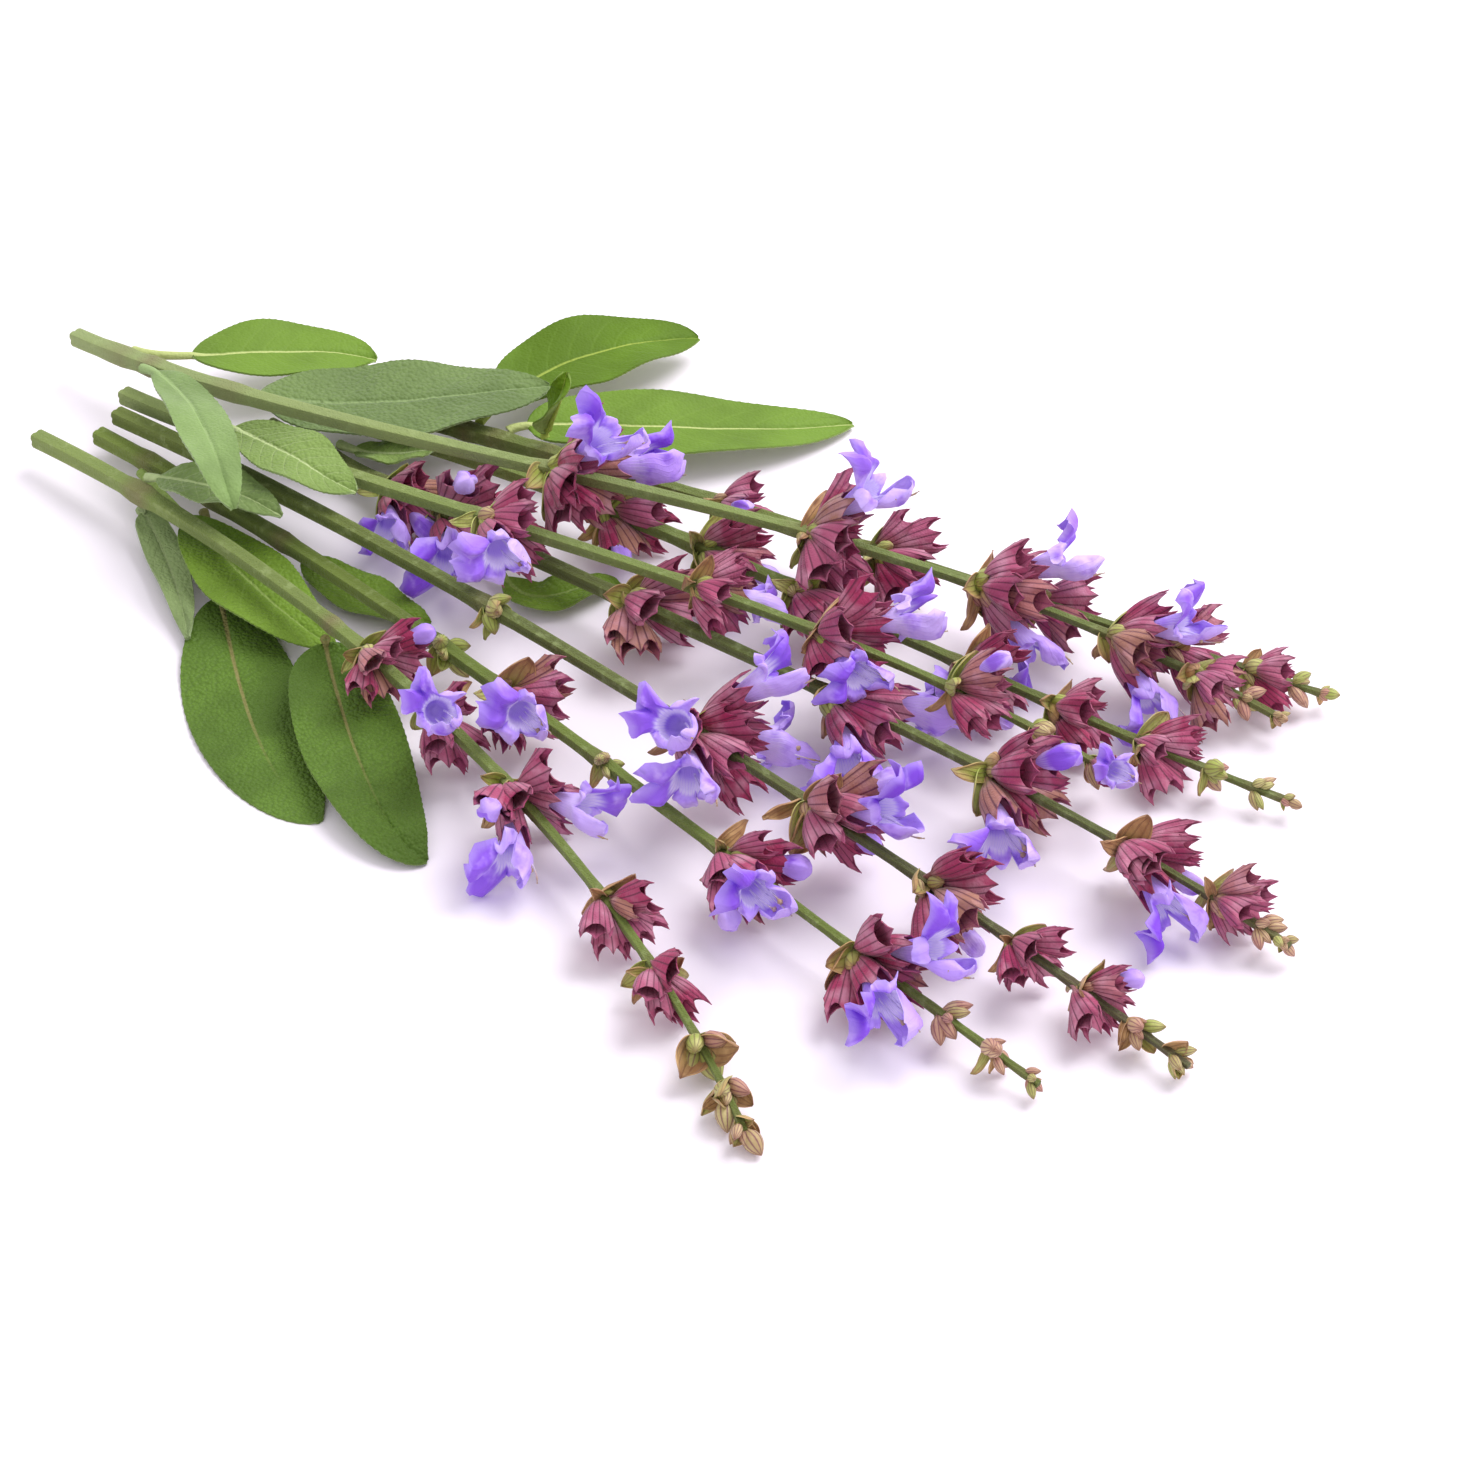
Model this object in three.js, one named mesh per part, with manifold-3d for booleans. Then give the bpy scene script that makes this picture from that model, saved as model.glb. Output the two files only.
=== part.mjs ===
// A loose bunch of flowering sage lying on its side. Eight square stems fan out from their cut ends, each
// with whorls of toothed calyxes, buds and papery bracts. Violet two-lipped flowers stand in some of the
// calyxes, and the lower stems carry long leaves.
// Millimetres, +Z up. +X runs from the cut ends to the flowering tips, and the bunch lies on the plane Z = 0.
import * as THREE from "three";
import Module from "manifold-3d";

const wasm = await Module();
wasm.setup();

// Place of the bunch, so that the middle of its outline is on the Z axis
const BUNCH_SHIFT_X = 27;
const BUNCH_SHIFT_Y = -1;

// Stems, measured from the axis to a corner of the square
const STEM_BASE_RADIUS = 2.2;
const STEM_TIP_RADIUS = 0.7;
const STEM_TAPER = 1.2;
const STEM_SIDES = 4;
const STEM_STATIONS = 13;

// Calyxes, buds and bracts at full size, with places along them as shares of their length
const PEDICEL_LENGTH = 3;
const PEDICEL_RADIUS = 0.7;
const CALYX_LENGTH = 12.5;
const CALYX_BELLY_RADIUS = 2.6;
const CALYX_MOUTH_RADIUS = 3.6;
const CALYX_NOTCH_RADIUS = 3.1;
const CALYX_BELLY_SHARE = 0.4;
const CALYX_NOTCH_SHARE = 0.74;
const CALYX_HOLLOW_SHARE = 0.15;
const CALYX_TEETH = 5;
const BUD_LENGTH = 10;
const BUD_RADIUS = 2.1;
const BRACT_LENGTH = 9;
const BRACT_HALF_WIDTH = 2.8;
const BRACT_HALF_THICKNESS = 0.45;
const SPINDLE_SIDES = 4;
const SPINDLE_FOOT_RADIUS = 1;
const SPINDLE_WAIST_SHARE = 0.55;
const BUD_SIZE_LIMIT = 0.72;
const BRACT_SIZE_LIMIT = 0.5;

// Flowers at full size, with places along them as shares of their calyx
const COROLLA_ROOT_RADIUS = 0.8;
const COROLLA_ROOT_SHARE = 0.45;
const COROLLA_THROAT_RADIUS = 3.3;
const COROLLA_THROAT_SHARE = 1.1;
const COROLLA_INNER_RADIUS = 2.1;
const COROLLA_INNER_SHARE = 1.15;
const COROLLA_HOLLOW_SHARE = 0.85;
// Rim of half a flower, each point as its angle from the hood, its reach past the throat and its radius
const COROLLA_HALF_RIM = [
  [0, 8.4, 6.6],
  [36, 7.2, 6],
  [72, 2.2, 3.9],
  [108, 5.2, 7],
  [144, 5.6, 7.4],
  [180, 7.6, 9.4],
];

// Leaves
const LEAF_THICKNESS = 0.8;
const PETIOLE_RADIUS = 0.9;
const LEAF_STATIONS = 9;
const LEAF_WAVE = 0.5;
const LEAF_WAVE_ALONG = 17;
const LEAF_WAVE_ACROSS = 2;
const LEAF_FOOT_GAP = 1.5;
const LEAF_BASE_BIAS = 0.85;
const LEAF_FULLNESS = 0.65;

// Spread of a whorl in degrees, and how it makes way for its neighbours
const CALYX_TILT = 40;
const BUD_TILT = 50;
const BRACT_TILT = 68;
const FIRST_AXIL = 30;
const CLUSTER_SPREAD = 44;
const SPROUT_WANDER = 12;
const TURNS = [0, 16, -16, 32, -32, 50, -50, 70, -70, 92, -92, 120, -120];
const TILTS = [0, -12, 12, -22];
const SHRINKS = [1, 0.8];
const NEIGHBOUR_GAP = 0.8;
const TABLE_GAP = 0.5;
const SAME_STEM_OVERLAP = 0.85;
const STEM_BALL_SPACING = 2.5;
const LEAF_BALL_RADIUS = 1;
const LEAF_BALL_ROWS = 16;
const LEAF_BALL_PLACES = [-1, -0.5, 0, 0.5, 1];
const DRAW = { seed: 679, step: 7919, offset: 12345, range: 100003 };

// Stem routes pass through four points at even steps. A whorl is its place along the stem, its size, its
// number of calyxes or buds without a flower, and the direction and tilt of each of its flowers in degrees:
// direction 0 is up and 90 is to the front.
const STEMS = [
  {
    route: [[-133, 23, 5], [-60, 41, 9], [29, 60, 12], [86, 83, 4]],
    whorls: [
      [0.4, 0.75, 2, []],
      [0.53, 0.95, 3, []],
      [0.66, 0.9, 3, []],
      [0.79, 0.85, 3, []],
      [0.88, 0.75, 2, []],
      [0.94, 0.55, 2, []],
      [0.985, 0.35, 1, []],
    ],
  },
  {
    route: [[-185, -2, 10], [-92, 10, 21], [-4, 42, 20], [86, 69, 6]],
    whorls: [
      [0.435, 1.05, 4, [[15, 45], [265, 30]]],
      [0.63, 1.05, 5, [[350, 45]]],
      [0.76, 1, 3, [[300, 35], [125, 30]]],
      [0.86, 0.95, 3, [[350, 30], [110, 35]]],
      [0.925, 0.75, 3, []],
      [0.965, 0.55, 2, []],
      [0.99, 0.35, 1, []],
    ],
  },
  {
    route: [[-129, 18, 5], [-52, 30, 9], [29, 36, 11], [101, 52, 4]],
    whorls: [
      [0.3, 1, 2, []],
      [0.4, 1, 3, []],
      [0.5, 0.95, 3, []],
      [0.67, 0.95, 3, []],
      [0.76, 0.9, 2, []],
      [0.845, 0.85, 3, []],
      [0.91, 0.65, 2, []],
      [0.96, 0.5, 2, []],
      [0.988, 0.35, 1, []],
    ],
  },
  {
    route: [[-163, -9, 9], [-86, -3, 18], [-5, 14, 20], [70, 31, 9]],
    whorls: [
      [0.41, 1, 2, [[75, 45]]],
      [0.605, 0.8, 2, [[235, 35]]],
      [0.72, 1, 2, [[285, 35], [75, 35]]],
      [0.845, 0.85, 3, []],
      [0.925, 0.7, 2, []],
      [0.985, 0.7, 1, [[40, 55]]],
    ],
  },
  {
    route: [[-137, 8, 4], [-49, 8, 9], [39, 11, 13], [126, 17, 5]],
    whorls: [
      [0.135, 0.9, 2, [[85, 45]]],
      [0.19, 1.05, 4, [[85, 40]]],
      [0.385, 1.05, 4, []],
      [0.585, 1.1, 2, [[100, 40], [250, 40]]],
      [0.73, 1.1, 4, [[90, 45]]],
      [0.85, 1, 3, [[100, 25]]],
      [0.93, 0.75, 3, []],
      [0.97, 0.55, 2, []],
      [0.99, 0.35, 1, []],
    ],
  },
  {
    route: [[-159, -15, 9], [-62, -17, 16], [35, -20, 15], [131, -21, 4]],
    whorls: [
      [0.375, 0.6, 2, []],
      [0.565, 1.05, 2, [[80, 45], [45, 65], [305, 60], [245, 55]]],
      [0.675, 1.05, 4, [[340, 25]]],
      [0.775, 1, 4, []],
      [0.85, 0.75, 3, []],
      [0.905, 0.75, 3, []],
      [0.95, 0.6, 2, []],
      [0.985, 0.5, 2, []],
    ],
  },
  {
    route: [[-161, -19, 5], [-69, -25, 9], [22, -37, 11], [113, -43, 4]],
    whorls: [
      [0.39, 0.7, 2, []],
      [0.46, 0.95, 2, [[50, 30]]],
      [0.57, 0.6, 2, []],
      [0.7, 1, 3, [[55, 25]]],
      [0.83, 1.05, 3, [[70, 30], [330, 30]]],
      [0.91, 0.7, 2, []],
      [0.955, 0.6, 2, []],
      [0.99, 0.35, 1, []],
    ],
  },
  {
    route: [[-168, -30, 7], [-83, -37, 12], [2, -55, 10], [80, -88, 4]],
    whorls: [
      [0.415, 0.85, 4, []],
      [0.5, 0.95, 1, [[30, 45]]],
      [0.605, 1, 2, [[290, 25], [105, 30]]],
      [0.745, 0.85, 3, []],
      [0.825, 0.85, 2, []],
      [0.905, 0.7, 2, []],
      [0.955, 0.6, 2, []],
      [0.99, 0.5, 1, []],
    ],
  },
];

// A leaf grows at a place along one stem, and its midrib passes through three more points at even steps.
// Its petiole is a share of its length, and fold lifts both its edges, in degrees.
const LEAVES = [
  {
    name: "leaf_far_oval", stem: 1, at: 0.05, halfWidth: 10, petiole: 0.3, fold: 6,
    midrib: [[-158, 9, 12], [-147, 25, 9.5], [-134, 38, 6.5]],
  },
  {
    name: "leaf_large_grey", stem: 1, at: 0.16, halfWidth: 13, petiole: 0.06, fold: 2,
    midrib: [[-123, 17, 12], [-108, 33, 12], [-96, 52, 10]],
  },
  {
    name: "leaf_back_short", stem: 0, at: 0.17, halfWidth: 11.5, petiole: 0.14, fold: 8,
    midrib: [[-103, 56, 7], [-97, 74, 7.5], [-88, 91, 5]],
  },
  {
    name: "leaf_back_long", stem: 0, at: 0.2, halfWidth: 11, petiole: 0.14, fold: 6,
    midrib: [[-84, 48, 8], [-64, 67, 6], [-46, 93, 1]],
  },
  {
    name: "leaf_upright_small", stem: 0, at: 0.245, halfWidth: 3.5, petiole: 0.15, fold: 25,
    midrib: [[-83, 37, 15], [-81, 38, 21], [-81, 41, 27]],
  },
  {
    name: "leaf_edge_narrow", stem: 4, at: 0.07, halfWidth: 4, petiole: 0.15, fold: 10,
    midrib: [[-110, 12, 8], [-105, 16, 8.5], [-101, 21, 8.5]],
  },
  {
    name: "leaf_hanging_pale", stem: 1, at: 0.085, halfWidth: 5.5, petiole: 0.08, fold: 6,
    midrib: [[-138, -14, 23], [-115, -28, 28], [-102, -36, 25]],
  },
  {
    name: "leaf_pale_veined", stem: 3, at: 0.125, halfWidth: 8, petiole: 0.15, fold: 8,
    midrib: [[-119, -11, 20], [-105, -12, 21], [-92, -11, 20]],
  },
  {
    name: "leaf_middle_small", stem: 7, at: 0.13, halfWidth: 6.5, petiole: 0.08, fold: 8,
    midrib: [[-124, -27, 16], [-114, -25, 17], [-101, -24, 17]],
  },
  {
    name: "leaf_under_stem", stem: 6, at: 0.06, halfWidth: 9.5, petiole: 0.2, fold: 3,
    midrib: [[-115, -31, 6.5], [-94, -36, 6.5], [-74, -37, 4]],
  },
  {
    name: "leaf_left_rolled", stem: 7, at: 0.135, halfWidth: 4, petiole: 0.08, fold: 8,
    midrib: [[-129, -34, 4.8], [-115, -42, 3.6], [-100, -53, 3]],
  },
  {
    name: "leaf_front_large", stem: 6, at: 0.13, halfWidth: 12.3, petiole: 0.3, fold: 0,
    midrib: [[-102, -41, 2], [-71, -63, 0.3], [-42, -74, 0.3]],
  },
  {
    name: "leaf_front_right", stem: 7, at: 0.375, halfWidth: 10.5, petiole: 0.1, fold: 4,
    midrib: [[-65, -46, 5], [-39, -63, 4.2], [-18, -69, 0.4]],
  },
  {
    name: "leaf_low_narrow", stem: 6, at: 0.205, halfWidth: 6, petiole: 0.12, fold: 4,
    midrib: [[-91, -20, 3.5], [-78, -19, 3], [-68, -15, 0.4]],
  },
  {
    name: "leaf_low_dark", stem: 4, at: 0.255, halfWidth: 5, petiole: 0.12, fold: 4,
    midrib: [[-57, 3, 3], [-51, 10, 3.5], [-47, 20, 0.4]],
  },
];

const FINISH = {
  stem: new THREE.MeshStandardMaterial({ color: 0x74853f, roughness: 0.65, metalness: 0 }),
  leaf: new THREE.MeshStandardMaterial({ color: 0x5c8a35, roughness: 0.7, metalness: 0 }),
  corolla: new THREE.MeshStandardMaterial({ color: 0x8a72dc, roughness: 0.5, metalness: 0 }),
};

const UP = new THREE.Vector3(0, 0, 1);
const DEGREE = Math.PI / 180;

// A repeatable draw between -1 and 1 for a feature that has numbers for a name.
function draw(...keys) {
  let state = DRAW.seed;
  for (const key of keys) {
    state = (state * state + key * DRAW.step + DRAW.offset) % DRAW.range;
  }
  return (2 * state) / DRAW.range - 1;
}

// A smooth curve through four points at even steps.
function routeThrough(points) {
  const [a, b, c, d] = points.map((place) => new THREE.Vector3(...place));
  const handle = (p, q, r, s) =>
    new THREE.Vector3()
      .addScaledVector(p, -5 / 6)
      .addScaledVector(q, 3)
      .addScaledVector(r, -1.5)
      .addScaledVector(s, 1 / 3);
  return new THREE.CubicBezierCurve3(a, handle(a, b, c, d), handle(d, c, b, a), d);
}

// Point, direction, sideways and upward axes of a curve. A curve along +X has its side to the front.
function stationOf(curve, at) {
  const origin = curve.getPoint(at);
  const along = curve.getTangent(at);
  const side = new THREE.Vector3().crossVectors(along, UP).normalize();
  const up = new THREE.Vector3().crossVectors(side, along);
  return { origin, along, side, up };
}

// A closed body skinned over rings of points. A ring of one point closes an end, and a ring may have twice
// the points of the ring before it.
function skin(rings) {
  const points = rings.flat();
  const faces = [];
  const firsts = [];
  let count = 0;
  for (const ring of rings) {
    firsts.push(count);
    count += ring.length;
  }
  const at = (ring, index) => firsts[ring] + (index % rings[ring].length);
  const closeEnd = (ring, first, second) => {
    for (let i = 1; i < rings[ring].length - 1; i += 1) {
      faces.push([at(ring, 0), at(ring, i + first), at(ring, i + second)]);
    }
  };
  closeEnd(0, 1, 0);
  for (let ring = 0; ring < rings.length - 1; ring += 1) {
    const here = rings[ring].length;
    const next = rings[ring + 1].length;
    for (let i = 0; i < here; i += 1) {
      if (next === 1) {
        faces.push([at(ring, i), at(ring, i + 1), at(ring + 1, 0)]);
      } else if (next === here) {
        faces.push([at(ring, i), at(ring, i + 1), at(ring + 1, i + 1)]);
        faces.push([at(ring, i), at(ring + 1, i + 1), at(ring + 1, i)]);
      } else {
        faces.push([at(ring, i), at(ring + 1, 2 * i + 1), at(ring + 1, 2 * i)]);
        faces.push([at(ring, i), at(ring, i + 1), at(ring + 1, 2 * i + 1)]);
        faces.push([at(ring, i + 1), at(ring + 1, 2 * i + 2), at(ring + 1, 2 * i + 1)]);
      }
    }
  }
  closeEnd(rings.length - 1, 0, 1);
  return new THREE.BufferGeometry().setFromPoints(points).setIndex(faces.flat());
}

// One body from several that run into each other.
function fuse(geometries) {
  const solids = geometries.map((geometry) => {
    const vertProperties = new Float32Array(geometry.attributes.position.array);
    const triVerts = new Uint32Array(geometry.index.array);
    return new wasm.Manifold(new wasm.Mesh({ numProp: 3, vertProperties, triVerts }));
  });
  const mesh = solids.reduce((joined, solid) => joined.add(solid)).getMesh();
  const geometry = new THREE.BufferGeometry();
  geometry.setAttribute("position", new THREE.BufferAttribute(mesh.vertProperties, 3));
  geometry.setIndex(new THREE.BufferAttribute(mesh.triVerts, 1));
  return geometry;
}

// A round of points about the local Z axis, turned from the local X axis.
function ringAt(count, height, radius, start = 0) {
  return Array.from({ length: count }, (_, i) => {
    const angle = start + (2 * Math.PI * i) / count;
    return new THREE.Vector3(radius * Math.cos(angle), radius * Math.sin(angle), height);
  });
}

// Radius of a stem at a place along it, from axis to corner.
function stemRadius(at) {
  return THREE.MathUtils.lerp(STEM_BASE_RADIUS, STEM_TIP_RADIUS, at ** STEM_TAPER);
}

function stemGeometry(curve) {
  const rings = [];
  for (let i = 0; i <= STEM_STATIONS; i += 1) {
    const at = i / STEM_STATIONS;
    const { origin, side, up } = stationOf(curve, at);
    rings.push(
      ringAt(STEM_SIDES, 0, stemRadius(at), Math.PI / STEM_SIDES).map((corner) =>
        origin.clone().addScaledVector(up, corner.x).addScaledVector(side, corner.y),
      ),
    );
  }
  return skin(rings);
}

// Height above the stem's axis at a share of a calyx.
function calyxHeight(share) {
  return PEDICEL_LENGTH + share * CALYX_LENGTH;
}

// An open bell on a pedicel: a pentagon that widens to a mouth of five teeth, hollowed to a point below.
function calyxRings() {
  const tips = ringAt(CALYX_TEETH, calyxHeight(1), CALYX_MOUTH_RADIUS);
  const halfStep = Math.PI / CALYX_TEETH;
  const notches = ringAt(CALYX_TEETH, calyxHeight(CALYX_NOTCH_SHARE), CALYX_NOTCH_RADIUS, halfStep);
  return [
    ringAt(CALYX_TEETH, 0, PEDICEL_RADIUS),
    ringAt(CALYX_TEETH, calyxHeight(CALYX_BELLY_SHARE), CALYX_BELLY_RADIUS),
    tips.flatMap((tip, i) => [tip, notches[i]]),
    [new THREE.Vector3(0, 0, calyxHeight(CALYX_HOLLOW_SHARE))],
  ];
}

// A closed spindle that widens to its middle: a bud is round, a bract is flat.
function spindleRings(length, halfWidth, halfThickness) {
  const oval = (height, width) => {
    const stretch = new THREE.Vector3(halfThickness, width, 1);
    return ringAt(SPINDLE_SIDES, height, 1).map((place) => place.multiply(stretch));
  };
  return [
    oval(0, SPINDLE_FOOT_RADIUS),
    oval(SPINDLE_WAIST_SHARE * length, halfWidth),
    [new THREE.Vector3(0, 0, length)],
  ];
}

// A tube that stands in a calyx and opens into a hood above and three lobes below.
function corollaRings() {
  const throat = calyxHeight(COROLLA_THROAT_SHARE);
  const mirrored = COROLLA_HALF_RIM.slice(1, -1).reverse();
  const rim = [...COROLLA_HALF_RIM, ...mirrored.map(([angle, reach, radius]) => [-angle, reach, radius])];
  const lips = rim.map(([angle, reach, radius]) => {
    const turn = angle * DEGREE;
    return new THREE.Vector3(radius * Math.cos(turn), radius * Math.sin(turn), throat + reach);
  });
  return [
    ringAt(rim.length, calyxHeight(COROLLA_ROOT_SHARE), COROLLA_ROOT_RADIUS),
    ringAt(rim.length, throat, COROLLA_THROAT_RADIUS),
    lips,
    ringAt(rim.length, calyxHeight(COROLLA_INNER_SHARE), COROLLA_INNER_RADIUS),
    [new THREE.Vector3(0, 0, calyxHeight(COROLLA_HOLLOW_SHARE))],
  ];
}

// The room that each kind of growth needs, as balls: place towards the hood, place along it, and radius.
const ROOM = {
  calyx: [[0, 6.8, 2.2], [0, 10.2, 2.9], [0, 13.8, 3.6]],
  bud: [[0, 4, 1.6], [0, 7, 1.6]],
  bract: [[0, 6, 1.4], [0, 8.5, 0.8]],
  corolla: [[0, 16.5, 3.6], [4.2, 22, 3.8], [0, 20, 4.6], [-4, 21, 5.6], [-6.4, 22, 4.6]],
};

const FORMS = {
  calyx: calyxRings(),
  bud: spindleRings(BUD_LENGTH, BUD_RADIUS, BUD_RADIUS),
  bract: spindleRings(BRACT_LENGTH, BRACT_HALF_WIDTH, BRACT_HALF_THICKNESS),
  corolla: corollaRings(),
};

// Axes of a growth on a stem: Z along it, X towards its hood, which faces the stem's tip.
function growthMatrix(station, azimuth, tilt, size) {
  const radial = new THREE.Vector3()
    .addScaledVector(station.up, Math.cos(azimuth * DEGREE))
    .addScaledVector(station.side, Math.sin(azimuth * DEGREE));
  const axis = new THREE.Vector3()
    .addScaledVector(station.along, Math.cos(tilt * DEGREE))
    .addScaledVector(radial, Math.sin(tilt * DEGREE));
  const hood = new THREE.Vector3()
    .addScaledVector(station.along, Math.sin(tilt * DEGREE))
    .addScaledVector(radial, -Math.cos(tilt * DEGREE));
  const across = new THREE.Vector3().crossVectors(axis, hood);
  return new THREE.Matrix4()
    .makeBasis(hood, across, axis)
    .scale(new THREE.Vector3(size, size, size))
    .setPosition(station.origin);
}

function roomOf(kind, matrix, size, owner) {
  return ROOM[kind].map(([across, along, radius]) => ({
    centre: new THREE.Vector3(across, 0, along).applyMatrix4(matrix),
    radius: radius * size,
    owner,
  }));
}

const taken = [];

// True where balls stand clear of the surface below and of everything placed so far.
function isClear(balls) {
  return balls.every(
    ({ centre, radius, owner }) =>
      centre.z - radius > TABLE_GAP &&
      taken.every((other) => {
        const reach = radius + other.radius;
        const apart = owner === other.owner ? SAME_STEM_OVERLAP * reach : reach + NEIGHBOUR_GAP;
        return centre.distanceTo(other.centre) > apart;
      }),
  );
}

// The axes of a growth of some kinds at one spot, turned, tilted or made smaller until it stands clear, or
// null where it can't.
function placeGrowth(kinds, stem, at, azimuth, tilt, size, owners) {
  const station = stationOf(stem.curve, at);
  for (const shrink of SHRINKS) {
    for (const turn of TURNS) {
      for (const lean of TILTS) {
        const matrix = growthMatrix(station, azimuth + turn, tilt + lean, size * shrink);
        const balls = kinds.flatMap((kind, i) => roomOf(kind, matrix, size * shrink, owners[i]));
        if (isClear(balls)) {
          taken.push(...balls);
          return matrix;
        }
      }
    }
  }
  return null;
}

// Directions round a stem in two opposite clusters.
function clusterAzimuth(axil, index) {
  const rank = Math.floor(index / 2);
  const step = Math.ceil(rank / 2) * (rank % 2 === 0 ? -1 : 1);
  return axil + (index % 2) * 180 + step * CLUSTER_SPREAD;
}

function placeForm(kind, matrix) {
  return skin(FORMS[kind].map((ring) => ring.map((place) => place.clone().applyMatrix4(matrix))));
}

// Half the width of a leaf at a share of its length.
function leafHalfWidth(leaf, share) {
  const along = Math.max(0, (share - leaf.petiole) / (1 - leaf.petiole));
  const fullness = Math.sin(Math.PI * along ** LEAF_BASE_BIAS) ** LEAF_FULLNESS;
  return Math.max(PETIOLE_RADIUS, leaf.halfWidth * fullness);
}

// The midrib starts just off its stem, on the side that it grows to.
function leafCurve(leaf, stems) {
  const { origin, along } = stationOf(stems[leaf.stem].curve, leaf.at);
  const outward = new THREE.Vector3(...leaf.midrib[0]).sub(origin);
  outward.addScaledVector(along, -outward.dot(along)).normalize();
  const foot = origin.clone().addScaledVector(outward, stemRadius(leaf.at) + LEAF_FOOT_GAP);
  return routeThrough([foot.toArray(), ...leaf.midrib]);
}

// Point of a leaf at a share of its length and a share of its half width, midway through its thickness.
function leafPoint(leaf, curve, share, across) {
  const { origin, side, up } = stationOf(curve, share);
  const reach = across * leafHalfWidth(leaf, share);
  const sway = Math.sin(share * LEAF_WAVE_ALONG + across * LEAF_WAVE_ACROSS);
  const wave = share > leaf.petiole ? LEAF_WAVE * sway * Math.abs(across) : 0;
  const lift = Math.abs(reach) * Math.tan(leaf.fold * DEGREE) + wave;
  const point = origin.clone().addScaledVector(side, reach).addScaledVector(up, lift);
  return { point, up };
}

// A thin blade with the same split on both faces. Where it would sink it lies flat on the surface.
function leafGeometry(leaf, curve) {
  const rings = [];
  for (let i = 0; i <= LEAF_STATIONS; i += 1) {
    const share = i / LEAF_STATIONS;
    const half = share < leaf.petiole ? PETIOLE_RADIUS : LEAF_THICKNESS / 2;
    const lay = (across, level) => {
      const { point, up } = leafPoint(leaf, curve, share, across);
      point.addScaledVector(up, level * half);
      point.z = Math.max(point.z, (level + 1) * half);
      return point;
    };
    rings.push([lay(0, 1), lay(1, 1), lay(1, -1), lay(0, -1), lay(-1, -1), lay(-1, 1)]);
  }
  return skin(rings);
}

const stems = STEMS.map((stem, index) => ({
  ...stem,
  index,
  curve: routeThrough(stem.route),
  growths: [],
}));
const leaves = LEAVES.map((leaf) => ({ ...leaf, curve: leafCurve(leaf, stems) }));
const flowers = [];

for (const stem of stems) {
  const steps = Math.ceil(stem.curve.getLength() / STEM_BALL_SPACING);
  for (let i = 0; i <= steps; i += 1) {
    taken.push({ centre: stem.curve.getPoint(i / steps), radius: stemRadius(i / steps), owner: stem.index });
  }
}
for (const leaf of leaves) {
  for (let row = 0; row <= LEAF_BALL_ROWS; row += 1) {
    for (const across of LEAF_BALL_PLACES) {
      const { point } = leafPoint(leaf, leaf.curve, row / LEAF_BALL_ROWS, across);
      taken.push({ centre: point, radius: LEAF_BALL_RADIUS, owner: leaf.name });
    }
  }
}

// Flowers are placed first, so that the rest of their whorl makes way for them.
for (const stem of stems) {
  for (const [at, size, , directions] of stem.whorls) {
    for (const [azimuth, tilt] of directions) {
      const owners = [stem.index, `flower_${flowers.length}`];
      const matrix = placeGrowth(["calyx", "corolla"], stem, at, azimuth, tilt, size, owners);
      if (matrix) {
        stem.growths.push(placeForm("calyx", matrix));
        flowers.push(placeForm("corolla", matrix));
      }
    }
  }
}
for (const stem of stems) {
  stem.whorls.forEach(([at, size, count], whorl) => {
    const axil = FIRST_AXIL + 90 * (whorl % 2) + SPROUT_WANDER * draw(stem.index, whorl);
    const [kind, tilt] = size < BUD_SIZE_LIMIT ? ["bud", BUD_TILT] : ["calyx", CALYX_TILT];
    for (let i = 0; i < count; i += 1) {
      const azimuth = clusterAzimuth(axil, i) + SPROUT_WANDER * draw(stem.index, whorl, i);
      const matrix = placeGrowth([kind], stem, at, azimuth, tilt, size, [stem.index]);
      if (matrix) {
        stem.growths.push(placeForm(kind, matrix));
      }
    }
    if (size > BRACT_SIZE_LIMIT) {
      const matrix = placeGrowth(["bract"], stem, at, axil + 90, BRACT_TILT, size, [stem.index]);
      if (matrix) {
        stem.growths.push(placeForm("bract", matrix));
      }
    }
  });
}

const bunch = new THREE.Group();
bunch.position.set(BUNCH_SHIFT_X, BUNCH_SHIFT_Y, 0);

function addPiece(name, geometry, material) {
  const mesh = new THREE.Mesh(geometry, material);
  mesh.name = name;
  bunch.add(mesh);
}

stems.forEach((stem, i) => {
  addPiece(`flowering_stem_${i + 1}`, fuse([stemGeometry(stem.curve), ...stem.growths]), FINISH.stem);
});
leaves.forEach((leaf) => {
  addPiece(leaf.name, leafGeometry(leaf, leaf.curve), FINISH.leaf);
});
flowers.forEach((geometry, i) => {
  addPiece(`corolla_${i + 1}`, geometry, FINISH.corolla);
});

export default bunch;
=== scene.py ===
import math

import bpy
import numpy as np
from mathutils import Matrix, Vector, noise


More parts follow.
